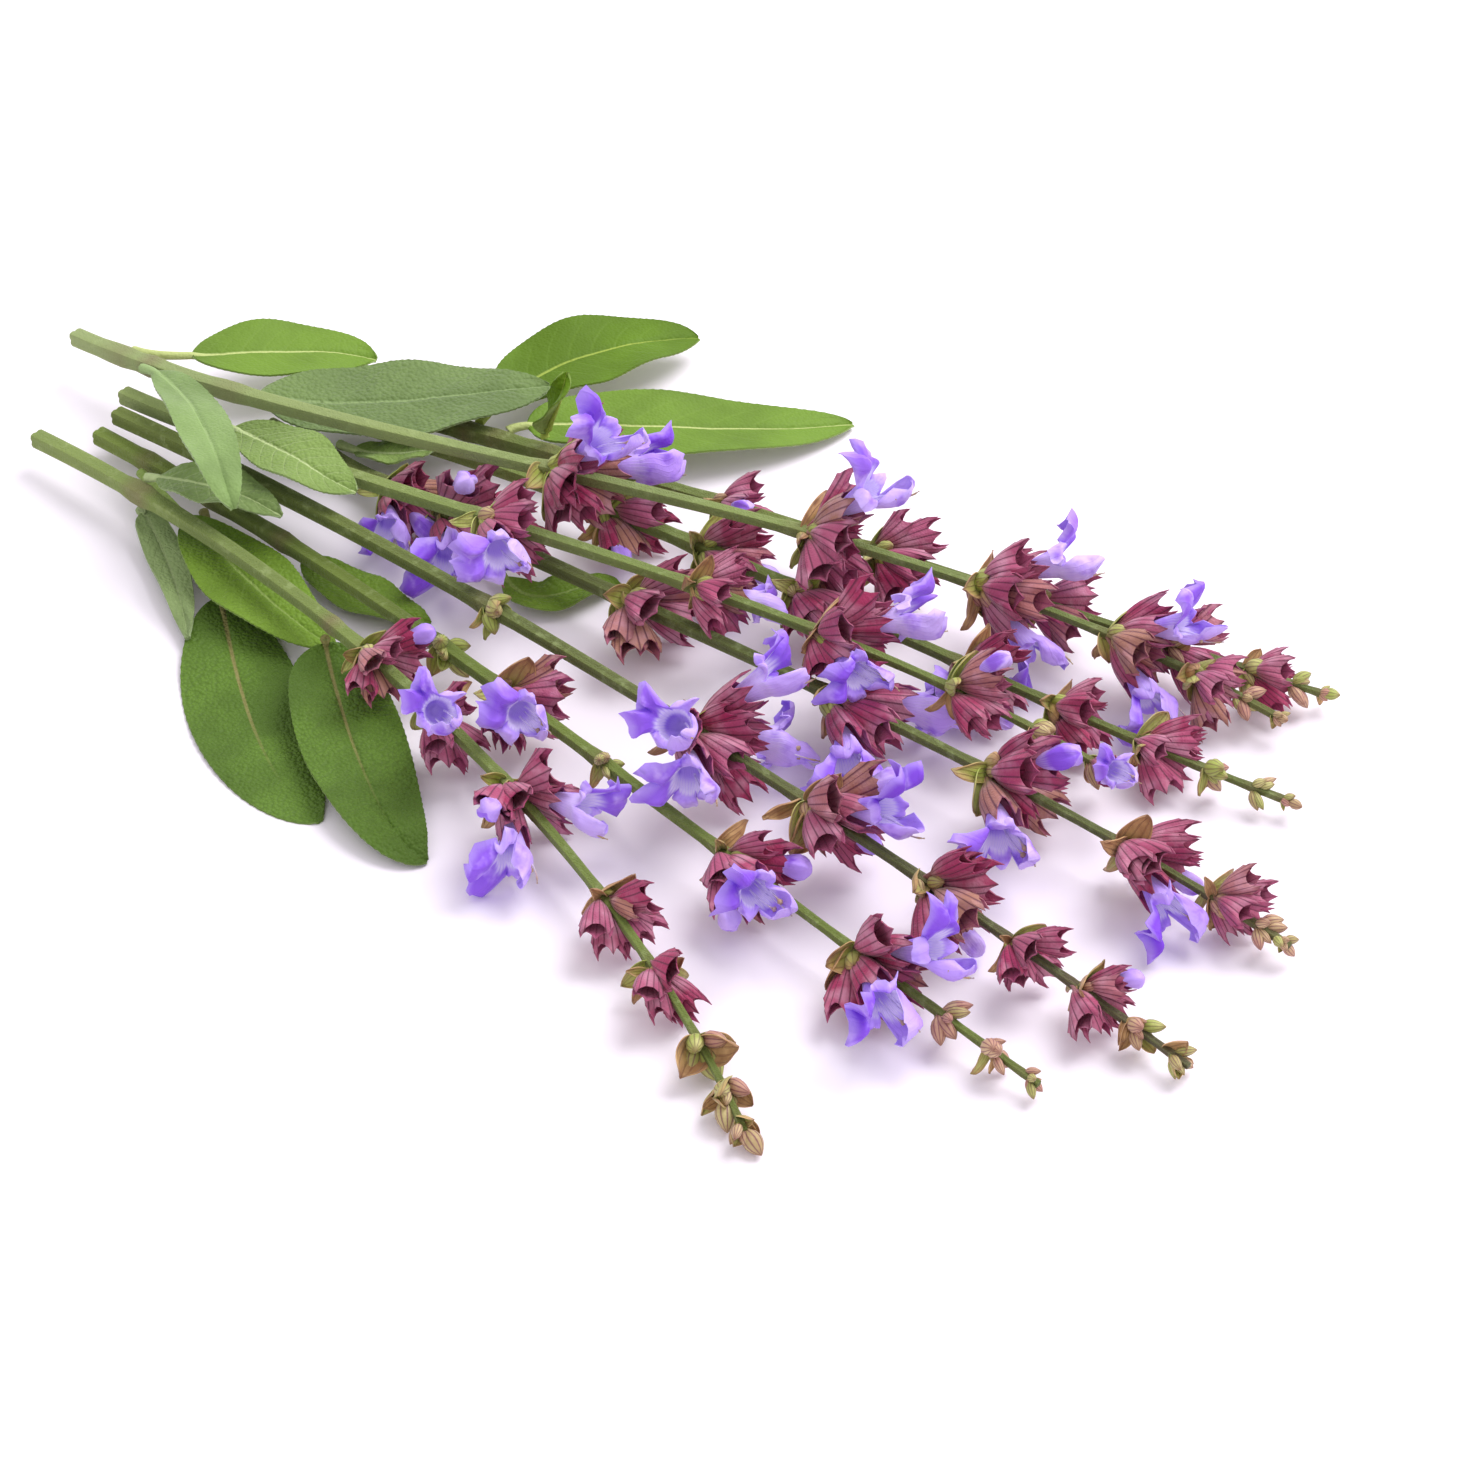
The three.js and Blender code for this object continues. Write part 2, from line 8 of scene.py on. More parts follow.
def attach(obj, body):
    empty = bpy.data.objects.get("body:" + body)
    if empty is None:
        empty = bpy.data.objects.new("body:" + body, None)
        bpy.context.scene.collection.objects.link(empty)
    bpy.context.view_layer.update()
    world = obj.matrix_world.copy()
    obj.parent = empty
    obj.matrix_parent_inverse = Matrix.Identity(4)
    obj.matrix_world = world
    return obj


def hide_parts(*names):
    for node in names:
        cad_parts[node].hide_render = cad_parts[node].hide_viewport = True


# A loose bunch of flowering sage on a pale floor. The plan of the bunch is worked out in millimetres, as in
# the part's source, so that each fine piece stands where its plain solid is.
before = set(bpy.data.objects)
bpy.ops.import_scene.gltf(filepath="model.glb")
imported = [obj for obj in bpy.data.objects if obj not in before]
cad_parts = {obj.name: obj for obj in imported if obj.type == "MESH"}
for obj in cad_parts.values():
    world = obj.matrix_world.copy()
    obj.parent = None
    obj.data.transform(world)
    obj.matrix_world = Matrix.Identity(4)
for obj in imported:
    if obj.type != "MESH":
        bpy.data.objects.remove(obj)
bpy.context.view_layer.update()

MILLIMETRE = 0.001
BUNCH_SHIFT = (27.0, -1.0, 0.0)

# The seed that noise vectors follow, so that crumples and warps are the same each run
NOISE_SEED = 11
noise.seed_set(NOISE_SEED)

# Stems, calyxes and flowers, as in the part's source
STEM_BASE_RADIUS = 2.2
STEM_TIP_RADIUS = 0.7
STEM_TAPER = 1.2
PEDICEL_LENGTH = 3.0
CALYX_LENGTH = 12.5
BUD_LENGTH = 10.0
BRACT_LENGTH = 9.0
BRACT_HALF_WIDTH = 2.8
BUD_SIZE_LIMIT = 0.72
BRACT_SIZE_LIMIT = 0.5
PETIOLE_RADIUS = 0.9
LEAF_WAVE = 0.5
LEAF_WAVE_ALONG = 17.0
LEAF_WAVE_ACROSS = 2.0
LEAF_FOOT_GAP = 1.5
LEAF_BASE_BIAS = 0.85
LEAF_FULLNESS = 0.65

# Spread of a whorl in degrees, and how it makes way for its neighbours
CALYX_TILT = 40.0
BUD_TILT = 50.0
BRACT_TILT = 68.0
FIRST_AXIL = 30.0
CLUSTER_SPREAD = 44.0
SPROUT_WANDER = 12.0
TURNS = [0, 16, -16, 32, -32, 50, -50, 70, -70, 92, -92, 120, -120]
TILTS = [0, -12, 12, -22]
SHRINKS = [1, 0.8]
NEIGHBOUR_GAP = 0.8
TABLE_GAP = 0.5
SAME_STEM_OVERLAP = 0.85
STEM_BALL_SPACING = 2.5
LEAF_BALL_RADIUS = 1.0
LEAF_BALL_ROWS = 16
LEAF_BALL_PLACES = [-1, -0.5, 0, 0.5, 1]

# The scene fills the whorls out with more growths, which may stand closer together
EXTRA_STEM_OVERLAP = 0.36
EXTRA_NEIGHBOUR_GAP = 0.2
FILL_AXIL = 35.0
FILL_WANDER = 25.0
FILL_PLACE_WANDER = 0.006
FILL_SIZE_WANDER = 0.18
FIRST_FILL_NUMBER = 10
# What is added to a whorl, to a slender tip and to a husky tip: its kind, direction round the stem, tilt and
# size
WHORL_FILL = [
    ("calyx", 80, 38, 1.0), ("bract", 185, 70, 1.0), ("calyx", 300, 36, 0.95), ("bud", 330, 44, 0.7),
    ("calyx", 190, 42, 0.9), ("bud", 50, 50, 0.62), ("bract", 100, 85, 0.95), ("shell", 15, 58, 0.75),
    ("bud", 120, 46, 0.6), ("bud", 230, 46, 0.6), ("bract", 280, 64, 0.9), ("bract", 30, 95, 0.8),
]
SLENDER_FILL = [
    ("bud", 0, 46, 1.0), ("bud", 180, 42, 0.95), ("bract", 100, 60, 0.8), ("bud", 60, 34, 0.8),
    ("bud", 250, 50, 0.75),
]
HUSKY_FILL = [
    ("shell", 0, 50, 1.1), ("shell", 180, 50, 1.0), ("bud", 80, 44, 1.1), ("bud", 280, 40, 1.05),
    ("shell", 60, 56, 0.8), ("bud", 30, 30, 0.9), ("bract", 120, 70, 1.1),
]
# How large the buds at the tip of each stem are, and which tips have husks
TIP_SIZES = [0.95, 0.9, 0.9, 1.0, 1.0, 1.0, 1.0, 1.1]
HUSKY_STEMS = (5, 7)
LEAST_TIP = 0.42

# Stem routes pass through four points at even steps. A whorl is its place along the stem, its size, its
# number of calyxes or buds without a flower, and the directions and tilts of its flowers in degrees.
STEMS = [
    {
        "route": [[-133, 23, 5], [-60, 41, 9], [29, 60, 12], [86, 83, 4]],
        "whorls": [
            [0.4, 0.75, 2, []], [0.53, 0.95, 3, []], [0.66, 0.9, 3, []], [0.79, 0.85, 3, []],
            [0.88, 0.75, 2, []], [0.94, 0.55, 2, []], [0.985, 0.35, 1, []],
        ],
    },
    {
        "route": [[-185, -2, 10], [-92, 10, 21], [-4, 42, 20], [86, 69, 6]],
        "whorls": [
            [0.435, 1.05, 4, [[15, 45], [265, 30]]], [0.63, 1.05, 5, [[350, 45]]],
            [0.76, 1, 3, [[300, 35], [125, 30]]], [0.86, 0.95, 3, [[350, 30], [110, 35]]],
            [0.925, 0.75, 3, []], [0.965, 0.55, 2, []], [0.99, 0.35, 1, []],
        ],
    },
    {
        "route": [[-129, 18, 5], [-52, 30, 9], [29, 36, 11], [101, 52, 4]],
        "whorls": [
            [0.3, 1, 2, []], [0.4, 1, 3, []], [0.5, 0.95, 3, []], [0.67, 0.95, 3, []],
            [0.76, 0.9, 2, []], [0.845, 0.85, 3, []], [0.91, 0.65, 2, []], [0.96, 0.5, 2, []],
            [0.988, 0.35, 1, []],
        ],
    },
    {
        "route": [[-163, -9, 9], [-86, -3, 18], [-5, 14, 20], [70, 31, 9]],
        "whorls": [
            [0.41, 1, 2, [[75, 45]]], [0.605, 0.8, 2, [[235, 35]]], [0.72, 1, 2, [[285, 35], [75, 35]]],
            [0.845, 0.85, 3, []], [0.925, 0.7, 2, []], [0.985, 0.7, 1, [[40, 55]]],
        ],
    },
    {
        "route": [[-137, 8, 4], [-49, 8, 9], [39, 11, 13], [126, 17, 5]],
        "whorls": [
            [0.135, 0.9, 2, [[85, 45]]], [0.19, 1.05, 4, [[85, 40]]], [0.385, 1.05, 4, []],
            [0.585, 1.1, 2, [[100, 40], [250, 40]]], [0.73, 1.1, 4, [[90, 45]]], [0.85, 1, 3, [[100, 25]]],
            [0.93, 0.75, 3, []], [0.97, 0.55, 2, []], [0.99, 0.35, 1, []],
        ],
    },
    {
        "route": [[-159, -15, 9], [-62, -17, 16], [35, -20, 15], [131, -21, 4]],
        "whorls": [
            [0.375, 0.6, 2, []], [0.565, 1.05, 2, [[80, 45], [45, 65], [305, 60], [245, 55]]],
            [0.675, 1.05, 4, [[340, 25]]], [0.775, 1, 4, []], [0.85, 0.75, 3, []], [0.905, 0.75, 3, []],
            [0.95, 0.6, 2, []], [0.985, 0.5, 2, []],
        ],
    },
    {
        "route": [[-161, -19, 5], [-69, -25, 9], [22, -37, 11], [113, -43, 4]],
        "whorls": [
            [0.39, 0.7, 2, []], [0.46, 0.95, 2, [[50, 30]]], [0.57, 0.6, 2, []], [0.7, 1, 3, [[55, 25]]],
            [0.83, 1.05, 3, [[70, 30], [330, 30]]], [0.91, 0.7, 2, []], [0.955, 0.6, 2, []],
            [0.99, 0.35, 1, []],
        ],
    },
    {
        "route": [[-168, -30, 7], [-83, -37, 12], [2, -55, 10], [80, -88, 4]],
        "whorls": [
            [0.415, 0.85, 4, []], [0.5, 0.95, 1, [[30, 45]]], [0.605, 1, 2, [[290, 25], [105, 30]]],
            [0.745, 0.85, 3, []], [0.825, 0.85, 2, []], [0.905, 0.7, 2, []], [0.955, 0.6, 2, []],
            [0.99, 0.5, 1, []],
        ],
    },
]

# A leaf is its node, its stem, its place along the stem, its half width, its petiole as a share of its
# length, the lift of its edges in degrees, its finish and three points of its midrib.
LEAVES = [
    ["leaf_far_oval", 1, 0.05, 10, 0.3, 6, "bright", [[-158, 9, 12], [-147, 25, 9.5], [-134, 38, 6.5]]],
    ["leaf_large_grey", 1, 0.16, 13, 0.06, 2, "velvet", [[-123, 17, 12], [-108, 33, 12], [-96, 52, 10]]],
    ["leaf_back_short", 0, 0.17, 11.5, 0.14, 8, "deep", [[-103, 56, 7], [-97, 74, 7.5], [-88, 91, 5]]],
    ["leaf_back_long", 0, 0.2, 11, 0.14, 6, "bright", [[-84, 48, 8], [-64, 67, 6], [-46, 93, 1]]],
    ["leaf_upright_small", 0, 0.245, 3.5, 0.15, 25, "deep", [[-83, 37, 15], [-81, 38, 21], [-81, 41, 27]]],
    ["leaf_edge_narrow", 4, 0.07, 4, 0.15, 10, "pale", [[-110, 12, 8], [-105, 16, 8.5], [-101, 21, 8.5]]],
    [
        "leaf_hanging_pale", 1, 0.085, 5.5, 0.08, 6, "smooth",
        [[-138, -14, 23], [-115, -28, 28], [-102, -36, 25]],
    ],
    ["leaf_pale_veined", 3, 0.125, 8, 0.15, 8, "pale", [[-119, -11, 20], [-105, -12, 21], [-92, -11, 20]]],
    [
        "leaf_middle_small", 7, 0.13, 6.5, 0.08, 8, "netted",
        [[-124, -27, 16], [-114, -25, 17], [-101, -24, 17]],
    ],
    ["leaf_under_stem", 6, 0.06, 9.5, 0.2, 3, "dark", [[-115, -31, 6.5], [-94, -36, 6.5], [-74, -37, 4]]],
    ["leaf_left_rolled", 7, 0.135, 4, 0.08, 8, "grey", [[-129, -34, 4.8], [-115, -42, 3.6], [-100, -53, 3]]],
    [
        "leaf_front_large", 6, 0.13, 12.3, 0.3, 0, "pebbled",
        [[-102, -41, 2], [-71, -63, 0.3], [-42, -74, 0.3]],
    ],
    [
        "leaf_front_right", 7, 0.375, 10.5, 0.1, 4, "pebbled",
        [[-65, -46, 5], [-39, -63, 4.2], [-18, -69, 0.4]],
    ],
    ["leaf_low_narrow", 6, 0.205, 6, 0.12, 4, "dark", [[-91, -20, 3.5], [-78, -19, 3], [-68, -15, 0.4]]],
    ["leaf_low_dark", 4, 0.255, 5, 0.12, 4, "dark", [[-57, 3, 3], [-51, 10, 3.5], [-47, 20, 0.4]]],
]

# The room that each kind of growth needs, as balls: place towards the hood, place along it, and radius
ROOM = {
    "calyx": [[0, 6.8, 2.2], [0, 10.2, 2.9], [0, 13.8, 3.6]],
    "bud": [[0, 4, 1.6], [0, 7, 1.6]],
    "bract": [[0, 6, 1.4], [0, 8.5, 0.8]],
    "shell": [[0, 5, 1.8], [0, 8, 1.4]],
    "corolla": [[0, 16.5, 3.6], [4.2, 22, 3.8], [0, 20, 4.6], [-4, 21, 5.6], [-6.4, 22, 4.6]],
}

UP = np.array((0.0, 0.0, 1.0))
TANGENT_STEP = 0.0001
LENGTH_STEPS = 200


def unit(vectors):
    return vectors / np.linalg.norm(vectors, axis=-1, keepdims=True)


def draw(*keys):
    """A repeatable draw between -1 and 1 for a feature that has numbers for a name."""
    state = 679
    for key in keys:
        state = (state * state + key * 7919 + 12345) % 100003
    return 2 * state / 100003 - 1


class Route:
    """A smooth curve through four points at even steps."""

    def __init__(self, points):
        a, b, c, d = (np.array(point, float) for point in points)
        near = a * (-5 / 6) + b * 3 + c * -1.5 + d * (1 / 3)
        far = d * (-5 / 6) + c * 3 + b * -1.5 + a * (1 / 3)
        self.holds = (a, near, far, d)

    def point(self, at):
        a, b, c, d = self.holds
        at = np.asarray(at, float)[..., None]
        left = 1 - at
        return left**3 * a + 3 * left**2 * at * b + 3 * left * at**2 * c + at**3 * d

    def along(self, at):
        low = np.maximum(np.asarray(at, float) - TANGENT_STEP, 0)
        high = np.minimum(np.asarray(at, float) + TANGENT_STEP, 1)
        return unit(self.point(high) - self.point(low))

    def station(self, at):
        """Point, direction, sideways and upward axes. A curve along +X has its side to the front."""
        along = self.along(at)
        side = unit(np.cross(along, UP))
        return self.point(at), along, side, np.cross(side, along)

    def length(self):
        points = self.point(np.linspace(0, 1, LENGTH_STEPS + 1))
        return np.linalg.norm(np.diff(points, axis=0), axis=1).sum()


def stem_radius(at):
    """Radius of a stem at a place along it, from axis to corner."""
    return STEM_BASE_RADIUS + (STEM_TIP_RADIUS - STEM_BASE_RADIUS) * at**STEM_TAPER


def growth_axes(station, azimuth, tilt, size):
    """Axes of a growth on a stem: Z along it, X towards its hood, which faces the stem's tip."""
    origin, along, side, up = station
    turn = math.radians(azimuth)
    lean = math.radians(tilt)
    radial = up * math.cos(turn) + side * math.sin(turn)
    axis = along * math.cos(lean) + radial * math.sin(lean)
    hood = along * math.sin(lean) - radial * math.cos(lean)
    axes = np.eye(4)
    axes[:3, 0] = hood * size
    axes[:3, 1] = np.cross(axis, hood) * size
    axes[:3, 2] = axis * size
    axes[:3, 3] = origin
    return axes


class Bunch:
    """Where every growth stands, and the balls that fill the places taken so far."""

    def __init__(self):
        self.taken = np.zeros((0, 5))
        self.growths = []

    def fill(self, centres, radii, owner):
        centres = np.atleast_2d(centres)
        rows = np.column_stack((centres, np.broadcast_to(radii, len(centres)), np.full(len(centres), owner)))
        self.taken = np.vstack((self.taken, rows))

    def is_clear(self, balls, overlap, gap):
        if (balls[:, 2] - balls[:, 3] <= TABLE_GAP).any():
            return False
        offsets = balls[:, None, :3] - self.taken[None, :, :3]
        reach = balls[:, None, 3] + self.taken[None, :, 3]
        same = balls[:, None, 4] == self.taken[None, :, 4]
        apart = np.where(same, overlap * reach, reach + gap)
        return (np.linalg.norm(offsets, axis=2) > apart).all()

    def place(self, kinds, owners, route, at, azimuth, tilt, size, overlap, gap):
        """A growth at one spot, turned, tilted or made smaller until it stands clear, or None."""
        station = route.station(at)
        for shrink in SHRINKS:
            for turn in TURNS:
                for lean in TILTS:
                    scale = size * shrink
                    axes = growth_axes(station, azimuth + turn, tilt + lean, scale)
                    balls = []
                    for kind, owner in zip(kinds, owners):
                        for across, along, radius in ROOM[kind]:
                            centre = axes @ np.array((across, 0, along, 1))
                            balls.append([*centre[:3], radius * scale, owner])
                    balls = np.array(balls)
                    if self.is_clear(balls, overlap, gap):
                        self.taken = np.vstack((self.taken, balls))
                        return axes
        return None

    def grow(self, kind, axes, stem, whorl, number):
        if axes is not None:
            self.growths.append({"kind": kind, "axes": axes, "stem": stem, "whorl": whorl, "number": number})


def cluster_azimuth(axil, index):
    """Directions round a stem in two opposite clusters."""
    rank = index // 2
    step = math.ceil(rank / 2) * (-1 if rank % 2 == 0 else 1)
    return axil + (index % 2) * 180 + step * CLUSTER_SPREAD


def leaf_half_width(half_width, petiole, share, least):
    along = np.clip((share - petiole) / (1 - petiole), 0, 1)
    fullness = np.abs(np.sin(math.pi * along**LEAF_BASE_BIAS)) ** LEAF_FULLNESS
    return np.maximum(least, half_width * fullness)


def leaf_route(stem_route, at, midrib):
    """The midrib starts just off its stem, on the side that it grows to."""
    origin, along, _, _ = stem_route.station(at)
    outward = np.array(midrib[0], float) - origin
    outward = unit(outward - along * (outward @ along))
    return Route([origin + outward * (stem_radius(at) + LEAF_FOOT_GAP), *midrib])


def leaf_lift(reach, across, share, petiole, fold):
    sway = np.sin(share * LEAF_WAVE_ALONG + across * LEAF_WAVE_ACROSS)
    wave = np.where(share > petiole, LEAF_WAVE * sway * np.abs(across), 0)
    return np.abs(reach) * math.tan(math.radians(fold)) + wave


def plan_bunch(stem_routes, leaf_routes):
    """Stands every calyx, flower, bud and bract where the part's source has it, then fills the whorls out."""
    bunch = Bunch()
    for index, route in enumerate(stem_routes):
        steps = math.ceil(route.length() / STEM_BALL_SPACING)
        at = np.arange(steps + 1) / steps
        bunch.fill(route.point(at), stem_radius(at), index)
    for index, (leaf, route) in enumerate(zip(LEAVES, leaf_routes)):
        _, _, _, half_width, petiole, fold, _, _ = leaf
        row_places = np.arange(LEAF_BALL_ROWS + 1) / LEAF_BALL_ROWS
        rows, places = np.meshgrid(row_places, LEAF_BALL_PLACES, indexing="ij")
        share = rows.ravel()
        across = places.ravel()
        origin, _, side, up = route.station(share)
        reach = across * leaf_half_width(half_width, petiole, share, PETIOLE_RADIUS)
        lift = leaf_lift(reach, across, share, petiole, fold)
        bunch.fill(origin + side * reach[:, None] + up * lift[:, None], LEAF_BALL_RADIUS, 100 + index)
    firm = (SAME_STEM_OVERLAP, NEIGHBOUR_GAP)
    flowers = 0
    for index, (stem, route) in enumerate(zip(STEMS, stem_routes)):
        for whorl, (at, size, _, directions) in enumerate(stem["whorls"]):
            for azimuth, tilt in directions:
                owners = (index, 1000 + flowers)
                axes = bunch.place(("calyx", "corolla"), owners, route, at, azimuth, tilt, size, *firm)
                bunch.grow("flower", axes, index, whorl, flowers)
                flowers += axes is not None
    for index, (stem, route) in enumerate(zip(STEMS, stem_routes)):
        for whorl, (at, size, count, _) in enumerate(stem["whorls"]):
            axil = FIRST_AXIL + 90 * (whorl % 2) + SPROUT_WANDER * draw(index, whorl)
            kind, tilt = ("bud", BUD_TILT) if size < BUD_SIZE_LIMIT else ("calyx", CALYX_TILT)
            for item in range(count):
                azimuth = cluster_azimuth(axil, item) + SPROUT_WANDER * draw(index, whorl, item)
                axes = bunch.place((kind,), (index,), route, at, azimuth, tilt, size, *firm)
                bunch.grow(kind, axes, index, whorl, item)
            if size > BRACT_SIZE_LIMIT:
                axes = bunch.place(("bract",), (index,), route, at, axil + 90, BRACT_TILT, size, *firm)
                bunch.grow("bract", axes, index, whorl, count)
    loose = (EXTRA_STEM_OVERLAP, EXTRA_NEIGHBOUR_GAP)
    for index, (stem, route) in enumerate(zip(STEMS, stem_routes)):
        for whorl, (at, size, _, _) in enumerate(stem["whorls"]):
            fill = WHORL_FILL
            body = size
            if size < BUD_SIZE_LIMIT:
                fill = HUSKY_FILL if index in HUSKY_STEMS else SLENDER_FILL
                body = max(size, LEAST_TIP) * TIP_SIZES[index]
            for number, (extra, azimuth, lean, share) in enumerate(fill, FIRST_FILL_NUMBER):
                turn = azimuth + FILL_AXIL + 90 * (whorl % 2) + FILL_WANDER * draw(index, whorl, number)
                place = at + FILL_PLACE_WANDER * draw(whorl, number, index)
                scale = share * body * (1 + FILL_SIZE_WANDER * draw(number, index, whorl))
                axes = bunch.place((extra,), (index,), route, place, turn, lean, scale, *loose)
                bunch.grow(extra, axes, index, whorl, number)
    return bunch.growths


# Modelling by hand, in millimetres


def only(piece):
    """Selects one piece and makes it the active one."""
    bpy.ops.object.select_all(action="DESELECT")
    piece.select_set(True)
    bpy.context.view_layer.objects.active = piece


def raise_rings(name, sides, rings, end):
    """A tube pulled up from a filled circle, ring by ring. Each ring is its height and radius, and the end is
    open, flat or pointed."""
    bpy.ops.object.select_all(action="DESELECT")
    height, radius = rings[0]
    bpy.ops.mesh.primitive_circle_add(
        vertices=sides,
        radius=radius,
        fill_type="NGON",
        location=(0, 0, height),
        rotation=(0, 0, -math.pi / 2),
    )
    piece = bpy.context.object
    piece.name = name
    bpy.ops.object.transform_apply(location=True, rotation=True, scale=True)
    bpy.ops.object.mode_set(mode="EDIT")
    bpy.ops.mesh.select_all(action="SELECT")
    for next_height, next_radius in rings[1:]:
        bpy.ops.mesh.extrude_region_move(TRANSFORM_OT_translate={"value": (0, 0, next_height - height)})
        ratio = next_radius / radius
        bpy.ops.transform.resize(value=(ratio, ratio, 1), center_override=(0, 0, next_height))
        height, radius = next_height, next_radius
    if end == "open":
        bpy.ops.mesh.delete(type="ONLY_FACE")
    if end == "pointed":
        bpy.ops.mesh.merge(type="CENTER")
    bpy.ops.mesh.select_all(action="SELECT")
    bpy.ops.mesh.normals_make_consistent(inside=False)
    bpy.ops.object.mode_set(mode="OBJECT")
    return piece


def lay_sheet(name, rows, columns):
    """A flat sheet from -1 to 1 both ways, split into rows along Y and columns along X."""
    bpy.ops.object.select_all(action="DESELECT")
    bpy.ops.mesh.primitive_grid_add(x_subdivisions=columns, y_subdivisions=rows, size=2)
    piece = bpy.context.object
    piece.name = name
    return piece


def points_of(piece):
    points = np.empty(3 * len(piece.data.vertices), np.float32)
    piece.data.vertices.foreach_get("co", points)
    return points.reshape(-1, 3).astype(float)


def move_points(piece, points):
    piece.data.vertices.foreach_set("co", np.asarray(points, np.float32).ravel())
    piece.data.update()


def mark(piece, name, values):
    """Writes a value for each vertex, for the finishes to read."""
    attribute = piece.data.attributes.get(name) or piece.data.attributes.new(name, "FLOAT", "POINT")
    count = len(piece.data.vertices)
    attribute.data.foreach_set("value", np.broadcast_to(np.asarray(values, np.float32), count).copy())


def thicken(piece, thickness, offset):
    """Gives a sheet or an open tube a wall, and marks its second face."""
    only(piece)
    before = len(piece.data.vertices)
    wall = piece.modifiers.new("wall", "SOLIDIFY")
    wall.thickness = thickness
    wall.offset = offset
    bpy.ops.object.modifier_apply(modifier=wall.name)
    mark(piece, "under", np.arange(len(piece.data.vertices)) >= before)


def smooth_shade(piece, degrees):
    only(piece)
    bpy.ops.object.shade_smooth_by_angle(angle=math.radians(degrees))


def copy_of(model, name):
    piece = model.copy()
    piece.data = model.data.copy()
    piece.name = name
    bpy.context.scene.collection.objects.link(piece)
    return piece


def join(name, pieces):
    bpy.ops.object.select_all(action="DESELECT")
    for piece in pieces:
        piece.select_set(True)
    bpy.context.view_layer.objects.active = pieces[0]
    if len(pieces) > 1:
        bpy.ops.object.join()
    pieces[0].name = name
    return pieces[0]


def set_down(piece, finish, slot, *nodes):
    """Takes a finished piece from millimetres to the frame, and hides the plain solids that it stands for."""
    points = points_of(piece)
    points[:, 2] = np.maximum(points[:, 2], 0)
    move_points(piece, points)
    piece.data.transform(Matrix.Scale(MILLIMETRE, 4) @ Matrix.Translation(BUNCH_SHIFT))
    if finish is not None:
        piece.data.materials.clear()
        piece.data.materials.append(finish)
    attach(piece, "root")
    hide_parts(*nodes)


# Shader maths


class Wire:
    """A node's output. Arithmetic on it adds Math nodes."""

    def __init__(self, tree, socket):
        self.tree = tree
        self.socket = socket

    def math(self, operation, first, second=0.0):
        return node(self.tree, "ShaderNodeMath", {"operation": operation}, {0: first, 1: second})

    def __add__(self, other):
        return self.math("ADD", self, other)

    def __radd__(self, other):
        return self.math("ADD", other, self)

    def __sub__(self, other):
        return self.math("SUBTRACT", self, other)

    def __rsub__(self, other):
        return self.math("SUBTRACT", other, self)

    def __mul__(self, other):
        return self.math("MULTIPLY", self, other)

    def __rmul__(self, other):
        return self.math("MULTIPLY", other, self)

    def __truediv__(self, other):
        return self.math("DIVIDE", self, other)

    def __pow__(self, other):
        return self.math("POWER", self, other)

    def size(self):
        return self.math("ABSOLUTE", self)

    def share(self):
        return self.math("FRACT", self)

    def sine(self):
        return self.math("SINE", self)

    def between(self, low, high):
        """0 below low, 1 above high and smooth in between."""
        settings = {"interpolation_type": "SMOOTHSTEP"}
        return node(self.tree, "ShaderNodeMapRange", settings, {0: self, 1: low, 2: high, 3: 0.0, 4: 1.0})


def node(tree, kind, settings, sockets, output=0):
    """Adds one node: its settings first, then the values or links of its sockets."""
    made = tree.nodes.new(kind)
    for name, value in settings.items():
        setattr(made, name, value)
    for key, value in sockets.items():
        if isinstance(value, Wire):
            tree.links.new(value.socket, made.inputs[key])
        else:
            made.inputs[key].default_value = value
    return Wire(tree, made.outputs[output])


def tone(code):
    """A scene colour from six hexadecimal digits."""
    shades = [int(code[i : i + 2], 16) / 255 for i in (0, 2, 4)]
    return (*[s / 12.92 if s <= 0.04045 else ((s + 0.055) / 1.055) ** 2.4 for s in shades], 1.0)


class Finish:
    """A material with its node tree and the parts that every finish here uses."""

    def __init__(self, name):
        self.material = bpy.data.materials.new(name)
        self.material.use_nodes = True
        self.tree = self.material.node_tree
        self.shader = self.tree.nodes["Principled BSDF"]

    def node(self, kind, settings, sockets, output=0):
        return node(self.tree, kind, settings, sockets, output)

    def mark(self, name):
        return self.node("ShaderNodeAttribute", {"attribute_name": name}, {}, "Fac")

    def place(self):
        return self.node("ShaderNodeTexCoord", {}, {}, "Object")

    def grain(self, scale, detail, stretch=(1, 1, 1)):
        """Smooth noise over the object, as a value from 0 to 1."""
        spot = self.node("ShaderNodeMapping", {}, {"Vector": self.place(), "Scale": stretch})
        return self.node("ShaderNodeTexNoise", {}, {"Vector": spot, "Scale": scale, "Detail": detail})

    def cells(self, scale):
        """Distance to the middle of the nearest cell."""
        return self.node("ShaderNodeTexVoronoi", {}, {"Vector": self.place(), "Scale": scale})

    def mix(self, factor, first, second):
        return self.node("ShaderNodeMix", {"data_type": "RGBA"}, {0: factor, 6: first, 7: second}, 2)

    def bump(self, height, strength, distance):
        sockets = {"Strength": strength, "Distance": distance, "Height": height}
        return self.node("ShaderNodeBump", {}, sockets)

    def close(self, colour, roughness, normal, **constants):
        # Emission Color takes the surface colour, so a set Emission Strength glows in it as painted light
        wires = {"Base Color": colour, "Roughness": roughness, "Normal": normal, "Emission Color": colour}
        for name, wire in wires.items():
            self.tree.links.new(wire.socket, self.shader.inputs[name])
        for name, value in constants.items():
            self.shader.inputs[name.replace("_", " ")].default_value = value
        return self.material


